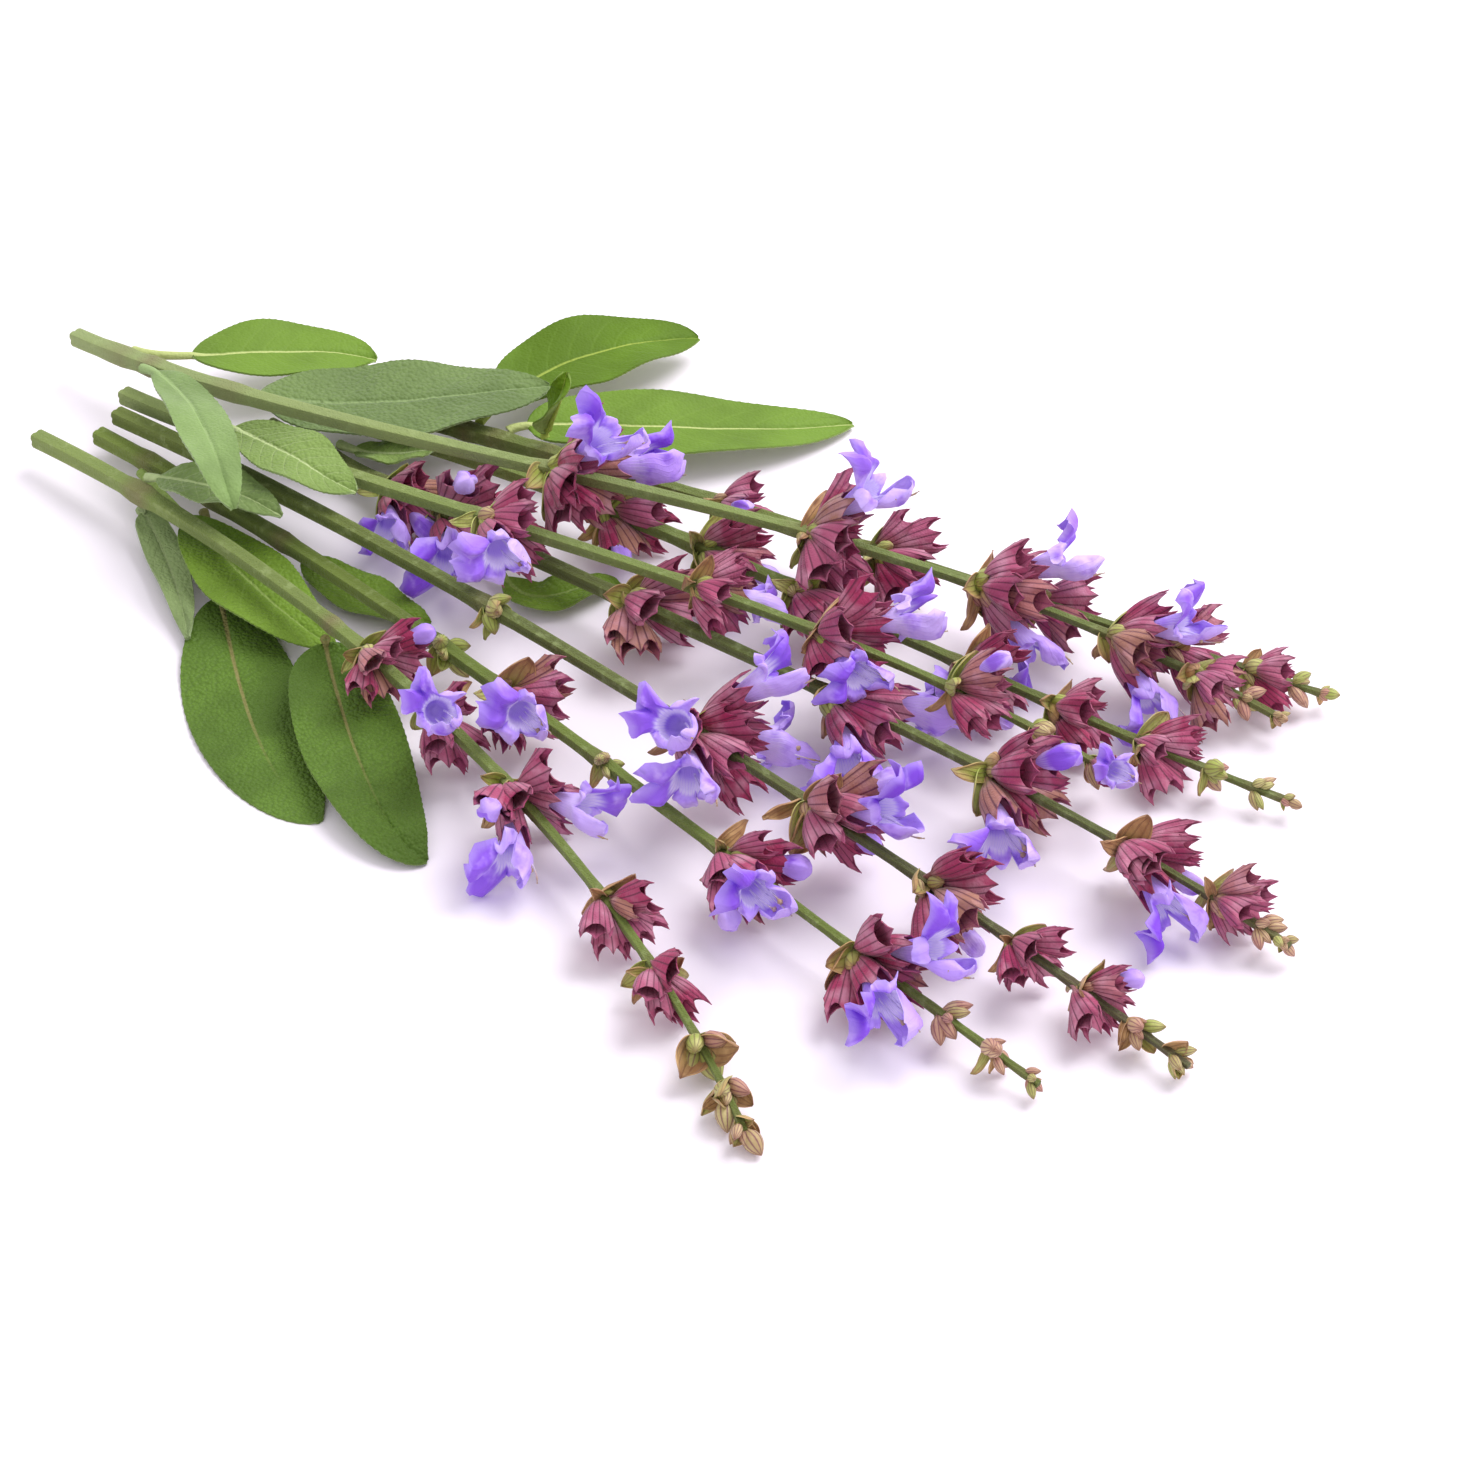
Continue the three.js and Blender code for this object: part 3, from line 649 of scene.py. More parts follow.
def stalk_finish():
    finish = Finish("downy stalk")
    streak = finish.grain(420, 3)
    patch = finish.grain(38, 2)
    colour = finish.mix(patch.between(0.35, 0.68), tone("5c6e21"), tone("6c7f2c"))
    colour = finish.mix(finish.mark("ripe"), colour, tone("4b4534"))
    colour = finish.mix(finish.mark("pale"), colour, tone("a0ad78"))
    colour = finish.mix(finish.mark("corner") * 0.2, colour, tone("8f9e58"))
    colour = finish.mix(streak.between(0.52, 0.75) * 0.3, colour, tone("aab880"))
    colour = finish.mix(finish.mark("joint") * 0.5, colour, tone("7a5c50"))
    colour = finish.mix(finish.mark("cut"), colour, tone("b3bd84"))
    down = finish.grain(2600, 2)
    roughness = 0.6 + 0.25 * streak
    normal = finish.bump(down, 0.7, 0.0006)
    return finish.close(colour, roughness, normal, Sheen_Weight=0.08, Specular_IOR_Level=0.25)


def calyx_finish():
    finish = Finish("ribbed calyx")
    along = finish.mark("along")
    rib = finish.mark("rib")
    tint = finish.mark("tint")
    patch = finish.grain(180, 3)
    wine = finish.mix(tint.between(0.0, 0.6), tone("a52a5a"), tone("ac5074"))
    ground = finish.mix(tint.between(0.78, 1.0) * 0.7, wine, tone("ac8460"))
    foot = (1 - along).between(0.5, 0.95) * (0.2 + 0.6 * tint)
    ground = finish.mix(foot, ground, tone("9c9c58"))
    ground = finish.mix(patch.between(0.42, 0.72) * 0.6, ground, tone("d09ab0"))
    line = rib.between(0.62, 1.0)
    colour = finish.mix(line * 0.85, ground, tone("521634"))
    colour = finish.mix(along.between(0.86, 1.02) * 0.5, colour, tone("5c2036"))
    colour = finish.mix(finish.mark("under") * 0.6, colour, tone("b04c78"))
    down = finish.grain(2400, 2)
    roughness = 0.45 + 0.2 * patch
    normal = finish.bump(down + rib * -0.5, 0.5, 0.0004)
    return finish.close(colour, roughness, normal, Sheen_Weight=0.15, Specular_IOR_Level=0.35)


def bud_finish():
    finish = Finish("striped bud")
    along = finish.mark("along")
    rib = finish.mark("rib")
    tint = finish.mark("tint")
    patch = finish.grain(220, 3)
    ground = finish.mix(tint.between(0.3, 0.8), tone("a3ad52"), tone("bd8a78"))
    ground = finish.mix(patch.between(0.4, 0.7) * 0.6, ground, tone("d6c690"))
    stripe = finish.mix(tint.between(0.1, 0.6), tone("75703a"), tone("74354c"))
    colour = finish.mix(rib.between(0.45, 0.95) * 0.8, ground, stripe)
    colour = finish.mix(along.between(0.8, 1.0) * 0.6, colour, tone("7a4438"))
    down = finish.grain(2400, 2)
    return finish.close(colour, 0.45 + 0.2 * patch, finish.bump(down, 0.4, 0.0004), Sheen_Weight=0.1)


def bract_finish():
    finish = Finish("papery bract")
    along = finish.mark("along")
    across = finish.mark("across")
    tint = finish.mark("tint")
    patch = finish.grain(240, 4)
    green = finish.mix(patch.between(0.35, 0.7), tone("98a840"), tone("c4c676"))
    paper = finish.mix(patch.between(0.35, 0.7), tone("cfa672"), tone("a0714a"))
    dryness = (tint + along * 0.4 + across.size() * 0.25).between(0.5, 1.05)
    colour = finish.mix(dryness, green, paper)
    vein = (across * 16 + along * 2).sine().between(0.5, 0.98)
    colour = finish.mix(vein * 0.4, colour, tone("84523c"))
    colour = finish.mix(along.between(0.85, 1.0) * 0.5, colour, tone("70442f"))
    fold = finish.grain(700, 3)
    height = fold + vein * 0.5
    return finish.close(colour, 0.45 + 0.2 * patch, finish.bump(height, 0.6, 0.0005), Sheen_Weight=0.15)


def petal_finish():
    finish = Finish("violet petal")
    along = finish.mark("along")
    turn = finish.mark("turn")
    tint = finish.mark("tint")
    inside = finish.mark("under")
    patch = finish.grain(210, 3)
    body = finish.mix(tint, tone("b088ee"), tone("caacf8"))
    deep = finish.mix(tint, tone("7638d2"), tone("9462e2"))
    lower = turn.between(0.6, 0.85) * 0.3
    colour = finish.mix((patch + lower - 0.1).between(0.4, 0.66), body, deep)
    vein = (turn * 90 + patch * 6).sine()
    # Whitish throat: its own marking, made whiter inside the tube as painted light in the tube's shade
    throat_and_painted_light = (1 - (along - 0.42).size() * 4).between(0.0, 0.9) * (0.35 + 0.65 * inside)
    pale = throat_and_painted_light * (0.8 + 0.2 * vein)
    colour = finish.mix(pale.between(0, 0.9) * 0.9, colour, tone("f3ebff"))
    colour = finish.mix((1 - along).between(0.65, 0.95) * 0.6, colour, tone("d9c8f4"))
    line = vein.between(0.6, 0.98)
    colour = finish.mix(line * (1 - along).between(0.1, 0.75) * 0.25, colour, tone("8450d2"))
    colour = finish.mix(along.between(0.86, 1.0) * 0.4, colour, tone("cdb6fa"))
    crease = finish.grain(900, 3)
    height = crease + line * 0.4
    normal = finish.bump(height, 0.4, 0.0004)
    # The petals glow faintly in their own colour: painted light that lifts them out of shade
    return finish.close(colour, 0.42 + 0.2 * patch, normal, Sheen_Weight=0.1, Emission_Strength=0.1)


def thread_finish():
    finish = Finish("stamen thread")
    along = finish.mark("along")
    speck = finish.grain(900, 2)
    colour = finish.mix(along.between(0.55, 0.9), tone("e6dcf6"), tone("b99a7a"))
    colour = finish.mix(speck.between(0.5, 0.7) * 0.4, colour, tone("9a84c8"))
    return finish.close(colour, 0.45 + 0.2 * speck, finish.bump(speck, 0.2, 0.0002))


# Each leaf finish: blade, deeper patches and the painted shade between pebbles, midrib, side veins,
# underside, how far side veins show, how deep they are sunk, pairs of side veins, pebbles per metre, how
# high the pebbles stand and how dark their painted shade is, where the midrib fades, and sheen
LEAF_FINISHES = {
    "bright": ("6d8d2a", "5e7a23", "c3cc86", "87a446", "95a86c", 0.12, 0.05, 9, 1500, 0.3, 1.3, 0.02),
    "deep": ("5d7e0c", "506d06", "9fb04c", "7a993a", "8c9f58", 0.12, 0.05, 9, 1500, 0.3, 1.2, 0.02),
    "velvet": ("6e8548", "5e733e", "879c66", "8ba06a", "95a67a", 0.12, 0.1, 9, 1100, 0.9, 1.3, 0.15),
    "pale": ("7f984d", "6e8442", "bccb92", "a5b87a", "95a67a", 0.4, 0.1, 10, 1400, 0.6, 1.4, 0.08),
    "netted": ("7d9554", "6c8148", "b4c48c", "a5b87a", "95a67a", 0.3, 0.08, 8, 900, 0.9, 1.4, 0.1),
    "smooth": ("85a05e", "738b50", "97b072", "93ac6c", "95a67a", 0.1, 0.03, 8, 1600, 0.35, 0.9, 0.08),
    "grey": ("869a62", "748654", "94a472", "90a06c", "869470", 0.2, 0.06, 9, 1300, 0.6, 1.2, 0.1),
    "pebbled": ("5d7d26", "486319", "8c8250", "6f8d3a", "7d9254", 0.05, 0.04, 10, 1250, 1.0, 0.8, 0.04),
    # Leaves in the stems' shade: blade and deeper colours made brighter as painted light to offset it
    "dark": ("75952e", "658224", "8ea456", "8aa64e", "7d9254", 0.18, 0.1, 10, 1300, 0.8, 1.2, 0.04),
}


def leaf_finish(name):
    blade, deep, rib, side, under, showing, _, pairs, pebbles, relief, fade, sheen = LEAF_FINISHES[name]
    finish = Finish(name + " leaf")
    along = finish.mark("along")
    across = finish.mark("across").size()
    reach = finish.mark("reach").size()
    patch = finish.grain(55, 3)
    pebble = finish.cells(pebbles)
    colour = finish.mix(patch.between(0.35, 0.68), tone(blade), tone(deep))
    # Painted shade: deeper colour in the hollows between pebbles, the more so the higher they stand
    colour = finish.mix(pebble.between(0.3, 0.75) * 0.5 * relief, colour, tone(deep))
    phase = ((along - across**1.3 * 0.2) * pairs).share() - 0.5
    side_vein = (1 - phase.size() * 9).between(0, 1) * (1 - across**4)
    colour = finish.mix(side_vein * showing, colour, tone(side))
    midrib = (1 - reach / (0.75 - 0.5 * along)).between(0, 0.6) * (fade - along).between(0, 0.5)
    colour = finish.mix(midrib * 0.85, colour, tone(rib))
    colour = finish.mix(finish.mark("under") * 0.75, colour, tone(under))
    height = (1 - pebble) * relief + side_vein * -0.6 * showing
    roughness = 0.45 + 0.25 * patch
    normal = finish.bump(height, 0.7, 0.0006)
    return finish.close(colour, roughness, normal, Sheen_Weight=sheen, Specular_IOR_Level=0.25)


# Models, each made once


def wheel_of(points, sides):
    """Which spoke each point is on, counted from the hood."""
    turn = np.arctan2(points[:, 1], points[:, 0])
    return np.round(turn / (2 * math.pi) * sides).astype(int) % sides


CALYX_SIDES = 30
CALYX_WALL = 0.22
CALYX_RIDGE = 0.03
CALYX_REACH = 15.5
# Share of the way from the foot of the bell to its rim, and its half width there
CALYX_PROFILE = [
    (0, 0.6), (0.06, 0.95), (0.16, 1.55), (0.3, 2.3), (0.45, 2.95), (0.6, 3.5), (0.75, 3.95), (0.88, 4.3),
    (1, 4.7),
]
# Height of the rim by the angle from the hood: three teeth above, two longer ones below
CALYX_RIM = np.array([
    [0, 15.4], [12, 13.7], [24, 12.7], [36, 12.5], [48, 13.4], [60, 15.5], [72, 13.2], [84, 11.8],
    [96, 11.7], [108, 12.5], [120, 14.0], [132, 16.2], [144, 14.3], [156, 12.9], [168, 12.3], [180, 12.1],
])


def calyx_model(name, flare, squeeze):
    """A ribbed bell on a pedicel, with a lip of three teeth above and one of two teeth below."""
    rings = [(-2, 0.6), (-1, 0.5)] + [(ring, radius) for ring, (_, radius) in enumerate(CALYX_PROFILE)]
    piece = raise_rings(name, CALYX_SIDES, rings, "open")
    points = points_of(piece)
    ring = points[:, 2]
    spoke = wheel_of(points, CALYX_SIDES)
    angle = np.degrees(np.abs(np.arctan2(points[:, 1], points[:, 0])))
    share = np.interp(ring, range(len(CALYX_PROFILE)), [place for place, _ in CALYX_PROFILE])
    rim = np.interp(angle, CALYX_RIM[:, 0], CALYX_RIM[:, 1])
    height = np.where(ring < 0, (ring + 2) * 1.4, PEDICEL_LENGTH + share * (rim - PEDICEL_LENGTH))
    ridge = np.where(spoke % 2 == 0, 1.0, -1.0) * np.clip(share * 6, 0, 1)
    swell = (1 + CALYX_RIDGE * ridge) * (1 + (flare - 1) * share)
    points[:, 0] *= swell * (1 - squeeze * share**1.5)
    points[:, 1] *= swell
    points[:, 0] += 1.2 * share**2 * math.sin(flare * 9)
    points[:, 1] += 0.8 * share**2 * math.sin(squeeze * 13)
    points[:, 2] = height
    move_points(piece, points)
    mark(piece, "along", height / CALYX_REACH)
    mark(piece, "rib", (spoke % 2 == 0).astype(float))
    thicken(piece, CALYX_WALL, -1)
    smooth_shade(piece, 60)
    return piece


BUD_SIDES = 20
BUD_RIDGE = 0.05
BUD_LEAN = 0.9
# Height above the stem, and the radius there
BUD_PROFILE = [
    (0, 0.5), (1.4, 0.45), (2.2, 1.0), (3.4, 1.75), (4.8, 2.1), (6.2, 2.05), (7.6, 1.65), (8.8, 1.0),
    (9.6, 0.4), (10, 0.1),
]


def bud_model(name, plump):
    """A closed calyx, ribbed and drawn to a point."""
    rings = [(height, radius * plump) for height, radius in BUD_PROFILE]
    piece = raise_rings(name, BUD_SIDES, rings, "pointed")
    points = points_of(piece)
    spoke = wheel_of(points, BUD_SIDES)
    ridge = np.where(spoke % 2 == 0, 1.0, -1.0)
    body = np.clip((points[:, 2] - 2) / 2, 0, 1)
    points[:, :2] *= (1 + BUD_RIDGE * body * ridge)[:, None]
    points[:, 0] *= 0.85
    points[:, 0] += BUD_LEAN * (points[:, 2] / BUD_LENGTH) ** 2
    move_points(piece, points)
    mark(piece, "along", points[:, 2] / BUD_LENGTH)
    mark(piece, "rib", (spoke % 2 == 0).astype(float))
    mark(piece, "under", 0)
    smooth_shade(piece, 60)
    return piece


BRACT_ROWS = 18
BRACT_COLUMNS = 12
BRACT_WALL = 0.18
BRACT_EDGE = 0.06


def bract_model(name, width, cup, curl, crumple):
    """A short-pointed papery leaf, cupped like a shell, that curls and crumples as it dries."""
    piece = lay_sheet(name, BRACT_ROWS, BRACT_COLUMNS)
    places = points_of(piece)
    across = places[:, 0]
    along = (places[:, 1] + 1) / 2
    outline = np.sin(math.pi * np.clip(along, 0.02, 0.985) ** 0.8) ** 0.55
    half = BRACT_HALF_WIDTH * width * outline + BRACT_EDGE
    bow = across * cup
    side = half * np.sin(bow) / cup
    hollow = half * (1 - np.cos(bow)) / cup - curl * along**2
    for index, (x, y) in enumerate(zip(across, along)):
        dent = noise.noise_vector(Vector((x * 1.1, y * 1.9, width * 9)))
        hollow[index] += crumple * dent[0] * y
        side[index] += crumple * 0.6 * dent[1] * y
    length = BRACT_LENGTH * (1.04 * along - 0.05 * across**2 * along)
    points = np.column_stack((hollow, side, length))
    move_points(piece, points)
    mark(piece, "along", along)
    mark(piece, "across", across)
    thicken(piece, BRACT_WALL, 0)
    smooth_shade(piece, 80)
    return piece


COROLLA_SIDES = 60
TUBE_RINGS = 6
LIP_RINGS = 12
TUBE_FOOT_RADIUS = 0.8
THROAT_RADIUS = 2.9
PETAL_WALL = 0.14
BROAD_WARP = 2.6
FINE_WARP = 0.5
THROAT_HEIGHT = PEDICEL_LENGTH + 1.1 * CALYX_LENGTH
ROOT_HEIGHT = PEDICEL_LENGTH + 0.45 * CALYX_LENGTH


def lobe(angle, middle, half, power):
    """1 in the middle of a lobe and 0 at its edges, with round shoulders."""
    return np.clip(1 - (np.abs(angle - middle) / half) ** power, 0, 1) ** 0.6


def corolla_model(name, seed, spread, ruffle, fold):
    """A tube that opens into an arched hood above, and two side lobes and a broad notched lobe below."""
    rings = [(ring, 1) for ring in range(TUBE_RINGS + LIP_RINGS + 1)]
    piece = raise_rings(name, COROLLA_SIDES, rings, "open")
    places = points_of(piece)
    turn = np.arctan2(places[:, 1], places[:, 0])
    angle = np.degrees(np.abs(turn))
    tube = np.clip(places[:, 2] / TUBE_RINGS, 0, 1)
    lip = np.clip((places[:, 2] - TUBE_RINGS) / LIP_RINGS, 0, 1)
    notch = np.exp(-(((angle - 180) / 9) ** 2))
    hood = lobe(angle, 0, 66, 4)
    flank = lobe(angle, 102, 33, 3)
    tongue = lobe(angle, 180, 46, 4) * (1 - 0.3 * notch)
    above = angle < 68
    reach = 1.0 + 8.6 * hood + 2.2 * flank + 6.8 * tongue
    flare = 0.3 + 2.4 * hood + (2.6 * flank + 7.6 * tongue) * spread
    radius = TUBE_FOOT_RADIUS + (THROAT_RADIUS - TUBE_FOOT_RADIUS) * tube**0.8
    radius += flare * np.where(above, np.sin(lip * math.pi / 2) ** 0.9, lip**1.4)
    radius -= hood * 2.8 * lip**4
    height = ROOT_HEIGHT + (THROAT_HEIGHT - ROOT_HEIGHT) * tube
    height += reach * np.where(above, lip**1.15, np.sin(lip * math.pi / 2) ** 0.9)
    height -= hood * 1.4 * np.exp(-((angle / 8) ** 2)) * lip**4
    height -= (tongue * 3.6 + flank * 2.4) * np.clip(lip - 0.5, 0, 1) ** 2 / 0.25
    height -= tongue * 0.9 * notch * lip * (1 - lip) * 4
    height += fold * tongue * (1 - notch) * 2.4 * lip**2
    wave = ruffle * (flank + tongue) * lip**2
    height += 0.8 * wave * np.sin(7 * turn + seed) + 0.4 * wave * np.sin(15 * turn - seed)
    radius += 0.5 * wave * np.cos(11 * turn + 2 * seed)
    side = radius * np.sin(turn) * (1 - 0.35 * hood * lip) + 1.2 * math.sin(seed * 2.4) * hood * lip**2
    points = np.column_stack((radius * np.cos(turn), side, height))
    for index in range(len(points)):
        spot = Vector(points[index]) * 0.2 + Vector((seed * 7, 0, 0))
        fine = Vector(points[index]) * 0.6 + Vector((0, seed * 5, 0))
        points[index] += np.array(noise.noise_vector(spot)) * (BROAD_WARP * lip[index])
        points[index] += np.array(noise.noise_vector(fine)) * (FINE_WARP * lip[index])
    move_points(piece, points)
    mark(piece, "along", 0.4 * tube + 0.6 * lip)
    mark(piece, "turn", angle / 180)
    thicken(piece, PETAL_WALL, 0)
    smooth_shade(piece, 80)
    return piece


THREAD_SIDES = 6
THREAD_STEPS = 12
STAMEN_RADIUS = 0.24
ANTHER_SWELL = 0.45
STYLE_RADIUS = 0.17
STIGMA_SWELL = 0.1


def thread_model(name, path, radius, knob):
    """A thin thread along a path, with a swollen end."""
    piece = raise_rings(name, THREAD_SIDES, [(step, 1) for step in range(THREAD_STEPS + 1)], "flat")
    places = points_of(piece)
    at = places[:, 2] / THREAD_STEPS
    route = Route(path)
    origin, _, side, up = route.station(at)
    knob_part = np.clip((at - 0.8) / 0.1, 0, 1) * np.clip((1.02 - at) / 0.06, 0, 1)
    swell = radius * (1 - 0.3 * at) + knob * knob_part
    points = origin + side * (places[:, 0] * swell)[:, None] + up * (places[:, 1] * swell)[:, None]
    move_points(piece, points)
    mark(piece, "along", at)
    smooth_shade(piece, 60)
    return piece


def stamens_model():
    """Two stamens under the hood, and a style that reaches past it."""
    left_path = [[1.0, 1.2, 14], [1.6, 1.3, 17], [2.6, 1.2, 20], [3.4, 0.8, 22.4]]
    right_path = [[1.0, -1.2, 14], [1.6, -1.3, 17], [2.6, -1.2, 20], [3.2, -0.8, 21.8]]
    style_path = [[1.8, 0, 13], [2.8, 0.1, 18], [4.0, 0.2, 22], [4.4, 0.3, 26]]
    left = thread_model("left", left_path, STAMEN_RADIUS, ANTHER_SWELL)
    right = thread_model("right", right_path, STAMEN_RADIUS, ANTHER_SWELL)
    style = thread_model("style", style_path, STYLE_RADIUS, STIGMA_SWELL)
    return join("stamens", [left, right, style])


FOLDED_SIDES = 24
# Height above the stem, and the radius there
FOLDED_PROFILE = [
    (8, 0.6), (10, 1.1), (12, 1.6), (14, 2.0), (15.4, 2.2), (16.6, 2.1), (17.6, 1.7), (18.3, 0.9),
    (18.6, 0.2),
]


def folded_model():
    """A flower that is still folded, showing at the mouth of its calyx."""
    piece = raise_rings("folded", FOLDED_SIDES, FOLDED_PROFILE, "pointed")
    points = points_of(piece)
    turn = np.arctan2(points[:, 1], points[:, 0])
    lift = np.clip((points[:, 2] - 11) / 6, 0, 1)
    points[:, :2] *= (1 + 0.2 * lift * np.cos(4 * turn + 3 * lift) + 0.08 * lift * np.cos(9 * turn))[:, None]
    points[:, 0] += 0.8 * lift**2
    move_points(piece, points)
    mark(piece, "along", 0.3 + 0.6 * lift)
    mark(piece, "turn", np.abs(turn) / math.pi)
    smooth_shade(piece, 80)
    return piece


# Stalks

STALK_SIDES = 16
STALK_STATIONS = 72
STALK_END = 0.02
# How far a stalk has turned brown, at its foot and at its tip, and how pale its down is
STALK_LOOKS = [
    (0.15, 0.5, 0.1), (0.0, 0.4, 0.75), (0.15, 0.5, 0.15), (0.05, 0.35, 0.4),
    (0.5, 0.7, 0.0), (0.3, 1.0, 0.0), (0.05, 0.3, 0.05), (0.0, 0.3, 0.3),
]


def stalk_model():
    rings = [(0, 1), (STALK_END, 1)] + [(station, 1) for station in range(1, STALK_STATIONS + 1)]
    return raise_rings("stalk", STALK_SIDES, rings, "flat")


def bend_stalk(model, index, route):
    """A square stalk with a groove down each face, swollen where whorls and leaves grow."""
    piece = copy_of(model, f"stalk_{index + 1}")
    places = points_of(piece)
    at = places[:, 2] / STALK_STATIONS
    turn = np.arctan2(places[:, 1], places[:, 0])
    corner = np.abs(np.sin(2 * turn)) ** 1.5
    joint = np.zeros(len(at))
    swell = np.ones(len(at))
    for spot, _, _, _ in STEMS[index]["whorls"]:
        swell += 0.3 * np.exp(-(((at - spot) / 0.012) ** 2))
        joint += 0.5 * np.exp(-(((at - spot) / 0.008) ** 2))
    for leaf in LEAVES:
        if leaf[1] == index:
            swell += 0.22 * np.exp(-(((at - leaf[2]) / 0.01) ** 2))
            joint += np.exp(-(((at - leaf[2]) / 0.007) ** 2))
    radius = stem_radius(at) * (0.7 + 0.27 * corner) * swell
    origin, _, side, up = route.station(at)
    points = origin + up * (radius * np.cos(turn))[:, None] + side * (radius * np.sin(turn))[:, None]
    points[:, 2] = np.maximum(points[:, 2], 0.1)
    move_points(piece, points)
    first, last, pale = STALK_LOOKS[index]
    mark(piece, "ripe", first + (last - first) * np.clip(at * 1.3 - 0.2, 0, 1))
    mark(piece, "corner", corner)
    mark(piece, "pale", pale * (1 - at))
    mark(piece, "joint", np.clip(joint, 0, 1))
    mark(piece, "cut", (at <= 0).astype(float))
    smooth_shade(piece, 55)
    return piece


# Leaves

BROAD_LEAF = (140, 48)
NARROW_LEAF = (84, 24)
BROAD_LEAF_LIMIT = 7.5
PEBBLE_SPACING = 1.6
LEAF_THICKNESS = 0.45
LEAF_FOOT_HALF_WIDTH = 0.5
LEAF_SCALLOP = 0.08
SCALLOP_LIMIT = 5
MIDRIB_SINK = 0.4
MIDRIB_SPREAD = 0.6
PEBBLE_HEIGHT = 0.2
BLADE_SWELL = 0.5
MIDRIB_STATIONS = 28
MIDRIB_SIDES = 8
MIDRIB_SHARE = 0.92


def leaf_sheet(model, leaf, route, rows):
    """A blade with a sunk midrib, sunk side veins, pebbles between them and a finely scalloped edge."""
    name, _, _, half_width, petiole, fold, finish, _ = leaf
    _, _, _, _, _, _, sunk, pairs, _, relief, _, _ = LEAF_FINISHES[finish]
    piece = copy_of(model, name + "_blade")
    places = points_of(piece)
    across = places[:, 0]
    share = (places[:, 1] + 1) / 2
    blade = np.clip((share - petiole) / (1 - petiole), 0, 1)
    row = np.round(share * rows).astype(int)
    scallop = LEAF_SCALLOP * np.cos(row * math.pi / 1.5) * (half_width > SCALLOP_LIMIT)
    scallop = scallop * np.clip(blade * 8, 0, 1) * np.clip((1 - blade) * 12, 0, 1)
    half = leaf_half_width(half_width, petiole, share, LEAF_FOOT_HALF_WIDTH) + scallop
    reach = across * half
    origin, _, side, up = route.station(share)
    lift = leaf_lift(reach, across, share, petiole, fold)
    inside = np.clip(blade * 6, 0, 1)
    lift -= MIDRIB_SINK * np.exp(-((reach / MIDRIB_SPREAD) ** 2)) * inside
    phase = (blade - 0.2 * np.abs(across) ** 1.3) * pairs
    near = phase - np.floor(phase) - 0.5
    lift -= sunk * np.exp(-((near / 0.1) ** 2)) * (1 - across**4) * inside * min(1, half_width / 9)
    length = route.length()
    for index in range(len(lift)):
        spot = Vector((share[index] * length, reach[index], half_width)) / PEBBLE_SPACING
        near_cells = noise.voronoi(spot)[0]
        pebble = min(1.0, (near_cells[1] - near_cells[0]) * 2)
        lift[index] += PEBBLE_HEIGHT * relief * inside[index] * pebble
        lift[index] += BLADE_SWELL * inside[index] * noise.noise(spot * 0.12)
    points = origin + side * reach[:, None] + up * lift[:, None]
    points[:, 2] = np.maximum(points[:, 2], LEAF_THICKNESS / 2)
    move_points(piece, points)
    mark(piece, "along", blade)
    mark(piece, "across", across)
    mark(piece, "reach", reach)
    thicken(piece, LEAF_THICKNESS, 0)
    return piece


def leaf_midrib(model, leaf, route):
    """The petiole, which runs on under the blade as its midrib."""
    name, _, _, _, petiole, _, _, _ = leaf
    piece = copy_of(model, name + "_midrib")
    places = points_of(piece)
    share = places[:, 2] / MIDRIB_STATIONS * MIDRIB_SHARE
    radius = np.interp(share, [0, petiole * 0.8, petiole + 0.12, MIDRIB_SHARE], [1.1, 0.9, 0.65, 0.2])
    sink = radius * np.clip((share - petiole) / 0.1, 0, 1) + 0.25 * np.clip((share - petiole) / 0.1, 0, 1)
    origin, _, side, up = route.station(share)
    points = origin + side * (places[:, 0] * radius)[:, None] + up * (places[:, 1] * radius - sink)[:, None]
    points[:, 2] = np.maximum(points[:, 2], 0)
    move_points(piece, points)
    mark(piece, "along", np.clip((share - petiole) / (1 - petiole), 0, 1))
    mark(piece, "across", 0)
    mark(piece, "reach", 0.1)
    mark(piece, "under", 0)
    return piece


def make_leaves(routes):
    broad = lay_sheet("broad sheet", *BROAD_LEAF)
    narrow = lay_sheet("narrow sheet", *NARROW_LEAF)
    rings = [(station, 1) for station in range(MIDRIB_STATIONS + 1)]
    rod = raise_rings("leaf rod", MIDRIB_SIDES, rings, "flat")
    finishes = {name: leaf_finish(name) for name in LEAF_FINISHES}
    for leaf, route in zip(LEAVES, routes):
        is_broad = leaf[3] > BROAD_LEAF_LIMIT
        rows = BROAD_LEAF[0] if is_broad else NARROW_LEAF[0]
        blade = leaf_sheet(broad if is_broad else narrow, leaf, route, rows)
        midrib = leaf_midrib(rod, leaf, route)
        piece = join(leaf[0] + "_fine", [blade, midrib])
        smooth_shade(piece, 60)
        set_down(piece, finishes[leaf[6]], "leaf", leaf[0])
    for model in (broad, narrow, rod):
        bpy.data.objects.remove(model)


def stand(model, axes, tint, name):
    """A copy of a model at its place, with its own tint from 0 to 1."""
    piece = copy_of(model, name)
    piece.data.transform(Matrix(axes.tolist()))
    mark(piece, "tint", tint)
    return piece


